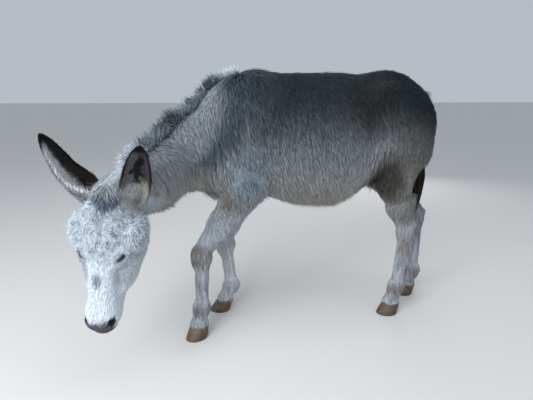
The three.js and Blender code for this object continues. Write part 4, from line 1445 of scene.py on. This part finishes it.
def lie_of_coat(points, normals, w):
    """The wishes of all parts, weighed by their shares, along the surface."""
    x, y, z = plan_place(points).T
    hx, hy, _ = head_place(points).T
    ones = np.ones(len(points))
    back = mix(0.26, -0.16, ramp(x, -60, 190) * (1 - ramp(z, 800, 920)))
    back = back + 0.5 * ramp(x, 230, 420) * ramp(z, 760, 900)
    trunk = np.stack((back, 0.28 * np.sign(y) * ramp(np.abs(y), 4, 60), -ones), 1)
    body_wards = unit(plan(-400, 0, 900) - plan(-808, -338, 657))
    neck = 0.35 * body_wards + np.array((0, 0, -1.0))
    legs = np.stack((0.12 * ones, 0 * ones, -ones), 1)
    aside = np.sign(hy + 6) * ramp(np.abs(hy + 6), 0, 24) * (1 - ramp(hx, 130, 230))
    nose = HEAD[0] + 0.8 * aside[:, None] * HEAD[1]
    cheek = HEAD[0] * 0.75 - HEAD[2] * 0.75 + 0 * points
    sideways = ramp(np.abs(hy), 45, 95)[:, None] * ramp(hx, 30, 90)[:, None]
    head = mix(nose, cheek, sideways * 0.8)
    behind = (1 - ramp(hx, 0, 60))[:, None]
    head = mix(head, -HEAD[2] - 0.3 * HEAD[0] + 0 * points, behind * 0.6)
    wish = (w["trunk"][:, None] * trunk + w["neck"][:, None] * neck + w["legs"][:, None] * legs
            + w["head"][:, None] * head + w["dock"][:, None] * np.array((0.1, 0, -1.0)))
    return along_surface(wish, normals)


def swung(lie, normals, angle):
    """A direction turned by an angle within the surface."""
    side = np.cross(normals, lie)
    return unit(lie * np.cos(angle)[:, None] + side * np.sin(angle)[:, None])


def clump_middles(points, size, seed):
    """The nearest of a set of scattered middles: one in each cell of a lattice, moved at random."""
    base = np.floor(points / size).astype(np.int64)
    best = np.full(len(points), AWAY)
    middle = np.zeros_like(points)
    for offset in np.ndindex(3, 3, 3):
        cell = base + np.array(offset) - 1
        jitter = np.stack([cell_random(cell, seed + k) for k in range(3)], 1)
        place = (cell + jitter) * size
        far = ((points - place) ** 2).sum(1)
        nearer = far < best
        best = np.where(nearer, far, best)
        middle[nearer] = place[nearer]
    return middle


# %% [markdown]
# ### Where the locks grow
#
# The skin's triangles are walked in order, and each gets as many roots as its area and the wanted
# density ask for, so that the roots are spread evenly. The density is highest on the face, where
# locks are smallest.

# %% Roots
def read_triangles(mesh):
    """The three vertices of every triangle."""
    mesh.calc_loop_triangles()
    corners = np.empty(len(mesh.loop_triangles) * 3, np.int32)
    mesh.loop_triangles.foreach_get("vertices", corners)
    return corners.reshape(-1, 3)


def roots_on(mesh, density, seed):
    """Random points on a mesh, so many to the square metre, with their normals."""
    points, normals, corners = read_points(mesh), read_normals(mesh), read_triangles(mesh)
    a, b, c = (points[corners[:, k]] for k in range(3))
    area = np.linalg.norm(np.cross(b - a, c - a), axis=1) / 2
    wanted = np.cumsum(area * density((a + b + c) / 3))
    total = np.floor(wanted + 0.5).astype(np.int64)
    counts = np.diff(np.concatenate(((0,), total)))
    rng = np.random.default_rng(seed)
    chosen = np.repeat(np.arange(len(corners)), counts)
    u, v = rng.random((2, len(chosen)))
    u, v = np.where(u + v > 1, 1 - u, u), np.where(u + v > 1, 1 - v, v)
    weights = np.stack((1 - u - v, u, v), 1)
    root = (points[corners[chosen]] * weights[..., None]).sum(1)
    normal = unit((normals[corners[chosen]] * weights[..., None]).sum(1))
    return root, normal

# %% How dense the locks are
EYE_CLEAR = 19  # no roots nearer to the opening between the lids, mm


def weighed(w, **values):
    """A value for each part, weighed by the points' shares."""
    return sum(value * w[part] for part, value in values.items())


def coat_density(points):
    """Locks to the square metre. None grow in hollows, on the hooves or between the lips."""
    _, w = part_shares(points)
    hx, _, hz = head_place(points).T
    head = mix(106e3, 142e3, ramp(hx, 60, 420)) * mix(0.6, 1, ramp(hz, -190, -120))
    legs = mix(52e3, 38e3, ramp(points[:, 2], 0.25, 0.6))
    dense = weighed(w, trunk=42e3, neck=44e3, head=head, legs=legs, dock=50e3)
    lips = w["head"] * ramp(hx, 446, 462)
    bare = (in_hollow(points) > 0) | (points[:, 2] < HOOF_HEIGHT)
    bare |= (from_eye(points) < EYE_CLEAR) | (by_mouth(points) > 0.6)
    return np.where(bare, 0, dense * (1 - 0.3 * lips))


coat_root, coat_normal = roots_on(skin.data, coat_density, 7)
coat_parts, coat_share = part_shares(coat_root)
owner = coat_parts.argmin(1)
print("roots:", len(coat_root), dict(zip(PARTS, np.bincount(owner).tolist())))


# %% Sizes of the locks
EAR_FOOT = (8, 80, -66)  # in the head's frame, where the left ear comes out of the coat


def lock_sizes(points, w, rng):
    """Length and width in metres, lift, droop and wave, for each root."""
    hx, hy, hz = head_place(points).T
    x, _, z = plan_place(points).T
    belly = ramp(-z, -700, -590) * w["trunk"]
    lower = ramp(-z, -600, -380)
    lips = ramp(hx, 360, 440)
    curly = (1 - ramp(hx, 150, 270)) * ramp(hz, -130, -60)  # the forehead
    by_eye = 1 - ramp(from_eye(points), 26, 60)
    head_length = mix(mix(14, 21, curly), 5, np.maximum(lips, 0.6 * by_eye))
    fluff = ramp(np.abs(hy), 66, 100) * ramp(hx, 20, 70) * (1 - ramp(hx, 190, 290)) * w["head"]  # temples
    forelock = ramp(-hx, -86, -30) * ramp(-np.abs(hy), -66, -30)
    head_length = head_length + 7 * fluff + 14 * forelock
    head_width = mix(mix(2.2, 2.5, curly), 1.4, np.maximum(lips, 0.5 * by_eye))
    feather = np.exp(-(((z - 105) / 30) ** 2)) * lower  # at the fetlocks
    by_ear = np.linalg.norm(np.stack((hx, np.abs(hy), hz), 1) - EAR_FOOT, axis=1)
    croup = ramp(x, 40, 220) * ramp(z, 760, 900)
    length = weighed(w, trunk=64 + 10 * belly - 24 * croup, neck=48, head=head_length,
                     legs=mix(42, 15, lower) + 10 * feather, dock=34)
    width = weighed(w, trunk=2.9, neck=2.9, head=head_width, legs=mix(3.0, 2.2, lower), dock=3.2)
    lift = weighed(w, trunk=0.30, neck=0.34, head=mix(mix(0.31, 0.46, curly), 0.26, lips),
                   legs=mix(0.32, 0.34, lower), dock=0.32) + 0.18 * belly + 0.16 * fluff
    droop = weighed(w, trunk=0.20 - 0.12 * belly, neck=0.20, head=0.18, legs=0.14)
    wave = 0.05 + 0.50 * curly * w["head"]
    spread = np.clip(rng.normal(0, 1, (4, len(points))), -2.2, 2.2)
    length = length * mix(0.36, 1, ramp(by_ear, 38, 92)) * np.exp(0.16 * spread[0]) * MM
    width = width * np.exp(0.12 * spread[1]) * MM
    lift = np.clip(lift + (0.05 + 0.05 * w["head"]) * spread[2], 0.12, 1.0)
    return length, width, lift, droop, wave * spread[3]


TALL = np.array((1, 1, 0.4))  # what is read at places scaled like this is taller than wide
rng = np.random.default_rng(11)
length, width, lift, droop, wave = lock_sizes(coat_root, coat_share, rng)
curly = coat_share["head"] * (1 - ramp(head_place(coat_root)[:, 0], 150, 270))
swing = (0.16 * mottle(coat_root * TALL, 0.06, 11) + 0.12 * mottle(coat_root * TALL, 0.022, 12)
         + curly * (1.1 * mottle(coat_root, 0.014, 13) + 0.5 * mottle(coat_root, 0.04, 14))
         + 0.05 * rng.normal(0, 1, len(coat_root)))
coat_lie = swung(lie_of_coat(coat_root, coat_normal, coat_share), coat_normal, swing)

# %% Clumps
# The tips of neighbours lean together, towards the middle of their clump carried along the lie.
# Clumps are small and round on the face, and tall and narrow on the body, which gives streaks.
on_face = coat_share["head"] > 0.5
gather = np.zeros_like(coat_root)
for mine, size, shape, share in ((on_face, 0.013, np.ones(3), 0.8), (~on_face, 0.018, TALL, 0.75)):
    towards = clump_middles(coat_root[mine] * shape, size, 21) / shape - coat_root[mine]
    flat = towards - (towards * coat_normal[mine]).sum(1, keepdims=True) * coat_normal[mine]
    along = (flat * coat_lie[mine]).sum(1, keepdims=True) * coat_lie[mine]
    gather[mine] = (flat - along) * share
coat_line = lock_lines(coat_root, coat_normal, coat_lie, length, 2, lift, droop, wave, gather)
coat_points = lock_points(coat_line, unit(np.cross(coat_normal, coat_lie)), coat_normal, width)
coat_colour = markings(coat_root)
coat_uv = map_place(coat_root, coat_parts)

# %% The coat in pieces
REAR_FROM = -90  # in the plan
on_left = plan_place(coat_root)[:, 1] < 0
rear = plan_place(coat_root)[:, 0] > REAR_FROM
head_left = head_place(coat_root)[:, 1] > 0
regions = {
    "coat_trunk_front_left": ((owner == 0) & on_left & ~rear, "coat"),
    "coat_trunk_front_right": ((owner == 0) & ~on_left & ~rear, "coat"),
    "coat_trunk_rear_left": ((owner == 0) & on_left & rear, "coat"),
    "coat_trunk_rear_right": ((owner == 0) & ~on_left & rear, "coat"),
    "coat_neck": (owner == 1, "coat"),
    "coat_head_left": ((owner == 2) & head_left, "pale_coat"),
    "coat_head_right": ((owner == 2) & ~head_left, "pale_coat"),
    "coat_forelegs": ((owner == 3) & ~rear, "leg_coat"),
    "coat_hindlegs": ((owner == 3) & rear, "leg_coat"),
    "coat_dock": (owner == 4, "coat"),
}
for seed, (name, (mine, slot_name)) in enumerate(regions.items()):
    finish = face_hair if slot_name == "pale_coat" else hair
    lock_mesh(name, coat_points[mine], coat_colour[mine], coat_uv[mine], seed, finish)


# %% [markdown]
# ### Hair of the ears
#
# The back of an ear has short close hair towards the tip. The hollow is lined with longer pale
# wool that starts at both rims and reaches over the middle.

# %% Ear hair
EAR_DENSITY = 62e3
EAR_MAP = {1: (0.68, 0.78, 0.83, 0.99), -1: (0.84, 0.78, 0.99, 0.99)}  # rectangles: left, low, right, high


def uneven(rng, amount, count):
    """Random factors round 1, one for each lock."""
    return np.exp(amount * rng.normal(0, 1, count))


def ear_coat(s):
    """Locks towards the tip on the back, and from the rims inwards in the hollow. The hollow of the
    right ear has extra wool along its lower rim."""
    root, normal = roots_on(ears[s].data, lambda p: np.full(len(p), EAR_DENSITY), 31 + s)
    t, edge = ear_place(s, root)
    keep = t > 0.02
    root, normal, t, edge = root[keep], normal[keep], t[keep], edge[keep]
    inside = ear_inside(s, root, normal)
    _, axis, _, across = ear_frame(s)
    rng = np.random.default_rng(41 + s)
    wish = axis + inside[:, None] * (-0.5 * edge[:, None] * across)
    swing = 0.35 * mottle(root, 0.02, 17) + 0.15 * rng.normal(0, 1, len(root))
    lie = swung(along_surface(wish, normal), normal, swing)
    base = 1 - ramp(t, 0.05, 0.45)
    woolly = (s < 0) * ramp(-edge, 0.2, 0.7) * (1 - ramp(t, 0.6, 0.85))
    length = mix(9 + 9 * base, 13 + 12 * base, inside) * (1 - 0.35 * ramp(t, 0.8, 1)) + 9 * woolly
    length = length * uneven(rng, 0.2, len(root)) * MM
    lift = mix(0.26, 0.42, inside) + 0.2 * base + 0.15 * woolly + 0.08 * rng.normal(0, 1, len(root))
    line = lock_lines(root, normal, lie, length, 2, lift, 0.15, 0.1 * rng.normal(0, 1, len(root)))
    points = lock_points(line, unit(np.cross(normal, lie)), normal, 2.2 * MM)
    left, low, right, high = EAR_MAP[s]
    u = np.clip(0.25 + 0.24 * edge + 0.5 * (inside > 0.5), 0, 1)
    uv = np.stack((mix(left, right, u), mix(low, high, np.clip(t, 0, 1))), 1)
    lock_mesh("coat_ear_" + SIDES[s], points, ear_markings(s, root, inside), uv, 51 + s, hair)


for s in SIDES:
    ear_coat(s)

# %% [markdown]
# ### Lids' hair and lashes
#
# The finest hair of all grows on the lids, up to their bare dark margin, and a fringe of dark
# lashes hangs from the upper one.

# %% Hair of the lids
LID_DENSITY = 260e3
LID_MARGIN = (18, 7.5)  # half the length and half the height of the bare margin round the opening, mm


def lid_hair(s, lid, rng):
    """Locks that point away from the eye and down the face."""

    def lid_density(points):
        """None on the margin."""
        along, across, _ = eye_place(s, points)
        return np.where(np.hypot(along / LID_MARGIN[0], across / LID_MARGIN[1]) > 1, LID_DENSITY, 0)

    root, normal = roots_on(lid.data, lid_density, 61)
    normal = normal * np.sign(normal @ EYE_LOOK[s])[:, None]
    away = along_surface(root - EYE_MIDDLE[s], EYE_LOOK[s])
    lie = along_surface(0.9 * away + 0.6 * NOSE_AXIS, normal)
    along, across, _ = eye_place(s, root)
    length = mix(4.5, 10, ramp(np.hypot(along, across), 12, 24)) * MM * uneven(rng, 0.15, len(root))
    line = lock_lines(root, normal, lie, length, 2, 0.3, 0.15, 0.1 * rng.normal(0, 1, len(root)))
    points = lock_points(line, unit(np.cross(normal, lie)), normal, 1.4 * MM)
    lock_mesh("coat_lids_" + SIDES[s], points, markings(root), map_place(root, part_shares(root)[0]),
              65, face_hair)


LASHES = 24
LASH_LENGTH, LASH_WIDTH = 9 * MM, 0.8 * MM
LASHES_FROM = 19.0  # distance of their roots from the eyeball's middle, mm
LASH_MAP = (0.93, 0.80)


def lashes(s, rng):
    """A row along the upper lid's edge, which is half an almond. They point out, down and apart."""
    share = np.linspace(-0.8, 0.92, LASHES)
    along = OPENING[0] * share
    height = OPENING[1] * np.sin(np.arccos(share)) ** 1.35
    out = np.sqrt(LASHES_FROM**2 - along**2 - height**2)
    root = EYE_MIDDLE[s] + np.stack((along, height, out), 1) @ EYE_AXES[s] * MM
    lash = unit(0.9 * EYE_LOOK[s] - 0.25 * EYE_ACROSS[s] + 0.5 * share[:, None] * EYE_LONG[s]
                + 0.35 * NOSE_AXIS)
    up = unit(np.cross(lash, EYE_LONG[s]))
    line = lock_lines(root, up, lash, LASH_LENGTH * uneven(rng, 0.2, LASHES), 3, -0.25, -0.25, 0.0)
    points = lock_points(line, unit(np.cross(up, lash)), up, LASH_WIDTH)
    lock_mesh("lashes_" + SIDES[s], points, np.tile(paint(60, 54, 54), (LASHES, 1)),
              LASH_MAP + 0.002 * share[:, None], 67, hair)


for s, lid in zip(SIDES, lids):
    rng = np.random.default_rng(63)
    lid_hair(s, lid, rng)
    lashes(s, rng)

# %% [markdown]
# ### Mane
#
# A donkey's mane is short and stands up. It is shaggy: its locks lean to either side and gather in
# bunches, some of them dark. Between the ears they lie forward, onto the forehead.

# %% Mane
CREST_WAYS = ((-0.42, -0.04, 0.9), (-0.2, -0.1, 0.97), (-0.16, -0.2, 0.96), (-0.1, -0.2, 0.97))
CREST_SHARE = 0.93  # the crest lies so far out, as a share of the neck's half depth
CREST = np.array([  # from the withers over the neck's places to between the ears
    plan(-372, 0, 1054),
    *(place + np.array(way) * deep * CREST_SHARE * MM for (place, deep, _), way in zip(NECK, CREST_WAYS)),
    in_head(-14, 0, -52),
])


def along_curve(knots, t):
    """A Catmull-Rom curve: between two knots a cubic whose slopes are half the steps across them."""
    padded = np.concatenate((2 * knots[:1] - knots[1:2], knots, 2 * knots[-1:] - knots[-2:-1]))
    s = np.clip(t, 0, 1) * (len(knots) - 1)
    i = np.minimum(s.astype(int), len(knots) - 2)
    f = (s - i)[:, None]
    p0, p1, p2, p3 = (padded[i + k] for k in range(4))
    return 0.5 * (2 * p1 + (p2 - p0) * f + (2 * p0 - 5 * p1 + 4 * p2 - p3) * f**2
                  + (3 * p1 - p0 - 3 * p2 + p3) * f**3)


MANE_LOCKS = 2600
MANE_HALF = 21 * MM  # half the width of the strip that it grows on
MANE_HEIGHT = 46
rng = np.random.default_rng(71)
t = np.sort(rng.random(MANE_LOCKS) ** 0.85)
spread = rng.uniform(-1, 1, MANE_LOCKS)
crest = along_curve(CREST, t)
tangent = unit(along_curve(CREST, t + 0.004) - along_curve(CREST, t - 0.004))
beside = unit(np.cross(tangent, UP))
lift_way = np.cross(beside, tangent)
root = settled(bare_level, crest + (spread * MANE_HALF)[:, None] * beside, 6)
height = MANE_HEIGHT * mix(0.43, 1, np.sin(math.pi * mix(0.06, 0.9, t)) ** 0.6)
bunch = mottle(crest, 0.034, 73)
lean = 0.70 * spread + 0.65 * bunch + 0.14 * rng.normal(0, 1, MANE_LOCKS)
forth = 0.20 + 0.65 * mottle(crest, 0.040, 74) + 0.15 * rng.normal(0, 1, MANE_LOCKS)
flat = ramp(t, 0.56, 0.84)
lean = lean * (1 - 0.5 * flat)
way = unit(((1 - 0.85 * flat)[:, None]) * lift_way + lean[:, None] * beside
           + (forth + 1.1 * flat)[:, None] * tangent)
side = unit(np.cross(way, beside))
length = (height + 11) * MM * uneven(rng, 0.14, MANE_LOCKS) * (1 - 0.15 * np.abs(spread))
length = length * (1 + 0.22 * mottle(crest, 0.026, 77)) * (1 - 0.3 * flat) * mix(0.75, 1, ramp(t, 0, 0.2))
line = lock_lines(root, beside, way, length, 4, 0.0, 0.18 * lean, 0.12 * rng.normal(0, 1, MANE_LOCKS))
points = lock_points(line, side, beside, mix(3.2, 2.4, flat) * MM)
dark = ramp(mottle(crest, 0.032, 75) + 0.30 * spread + 0.2 * rng.normal(0, 1, MANE_LOCKS), -0.15, 0.4)
dark = dark * ramp(t, 0.08, 0.2) * (1 - ramp(t, 0.54, 0.70))
pale = np.maximum(1 - ramp(t, 0.06, 0.2), ramp(t, 0.52, 0.72))
colours = over(np.tile(paint(134, 146, 155), (MANE_LOCKS, 1)), pale, paint(196, 207, 217))
colours = over(colours, dark * 0.85, paint(40, 52, 60))
uv = np.stack((mix(0.68, 0.88, t), mix(0.58, 0.66, (spread + 1) / 2)), 1)
mane = lock_mesh("mane_locks", points, colours, uv, 76, hair)
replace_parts(mane, "mane")

# %% [markdown]
# ### Switch of the tail
#
# Only the end of a donkey's tail has long hair. Dark locks start round the end of the dock, hang
# down in a full tassel and close to a point.

# %% Tail switch
SWITCH = np.array([plan(450, 0, 790), plan(450, 0, 700), plan(446, -2, 610), plan(440, -4, 521),
                   plan(434, -6, 430)])
SWITCH_LOCKS = 1500
STRANDS = 46  # the locks hang together in so many strands
SWITCH_WIDTH = 3.4 * MM  # of one lock
rng = np.random.default_rng(81)
strand = rng.integers(0, STRANDS, SWITCH_LOCKS)
strand_turn, strand_share, strand_stop = rng.uniform(0, 1, (3, STRANDS))[:, strand]
turn = 2 * math.pi * strand_turn + 0.16 * rng.normal(0, 1, SWITCH_LOCKS)
share = np.clip(np.sqrt(mix(0.15, 1, strand_share)) + 0.07 * rng.normal(0, 1, SWITCH_LOCKS), 0.1, 1)
start = rng.uniform(0.0, 0.42, SWITCH_LOCKS)
stop = mix(0.74, 0.97, strand_stop) + rng.uniform(-0.05, 0.03, SWITCH_LOCKS)
RINGS = 7  # of one lock
TASSEL = ((0, 0.25, 0.45, 0.7, 1.0), (17, 19, 29, 26, 5))  # share of the way down, radius in mm
s = mix(start[:, None], stop[:, None], np.linspace(0, 1, RINGS + 1)[None, :])
middle = along_curve(SWITCH, s.ravel()).reshape(*s.shape, 3)
full = np.interp(s, *TASSEL) * MM
twist = turn[:, None] + 0.6 * np.sin(4 * s + 6 * strand_share[:, None]) * s
out = np.stack((np.cos(twist), 1.1 * np.sin(twist), 0 * twist), -1)
line = middle + (full * share[:, None])[..., None] * out
line += 0.004 * np.sin(9 * s + 9 * strand_stop[:, None])[..., None] * np.roll(out, 1, -1) * s[..., None]
away = unit(out[:, RINGS // 2])
points = lock_points(line, unit(np.cross(away, -UP)), away, SWITCH_WIDTH)
tint = 0.9 * strand_stop**2 + 0.2 * rng.random(SWITCH_LOCKS)
colours = over(np.tile(paint(12, 10, 10), (SWITCH_LOCKS, 1)), tint, paint(58, 50, 44))
uv = np.stack((mix(0.68, 0.88, turn / (2 * math.pi)), mix(0.68, 0.76, share)), 1)
switch = lock_mesh("switch_locks", points, colours, uv, 83, hair)
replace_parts(switch, "tail_switch")

# %% [markdown]
# ## What stands for what
#
# The skin takes the place of the flesh nodes. Eyeballs, ears and hooves take that of their own
# nodes, as mane and switch did where they were made. The coat and the lids are extra pieces.

# %% Joining the pieces to the frame
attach(skin, "root")
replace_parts(skin, *FLESH)
for s, side_name in SIDES.items():
    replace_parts(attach(eyes[s], "root"), "eye_" + side_name)
    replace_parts(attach(ears[s], "root"), "ear_" + side_name)
for piece in lids:
    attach(piece, "root")
for name, piece in hooves.items():
    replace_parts(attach(piece, "root"), "hoof_" + name)

# %% The floor
FLOOR_HALF = 90.0  # metres
corners = np.array(((-1, -1, 0), (1, -1, 0), (1, 1, 0), (-1, 1, 0))) * FLOOR_HALF
floor_mesh = bpy.data.meshes.new("floor")
floor_mesh.from_pydata(corners.tolist(), [], [(0, 1, 2, 3)])
floor = add_piece("floor", floor_mesh)
pale = Finish("pale_floor", Roughness=0.9)
pale.give("Base Color", (0.68, 0.68, 0.67, 1))
floor.data.materials.append(pale.material)
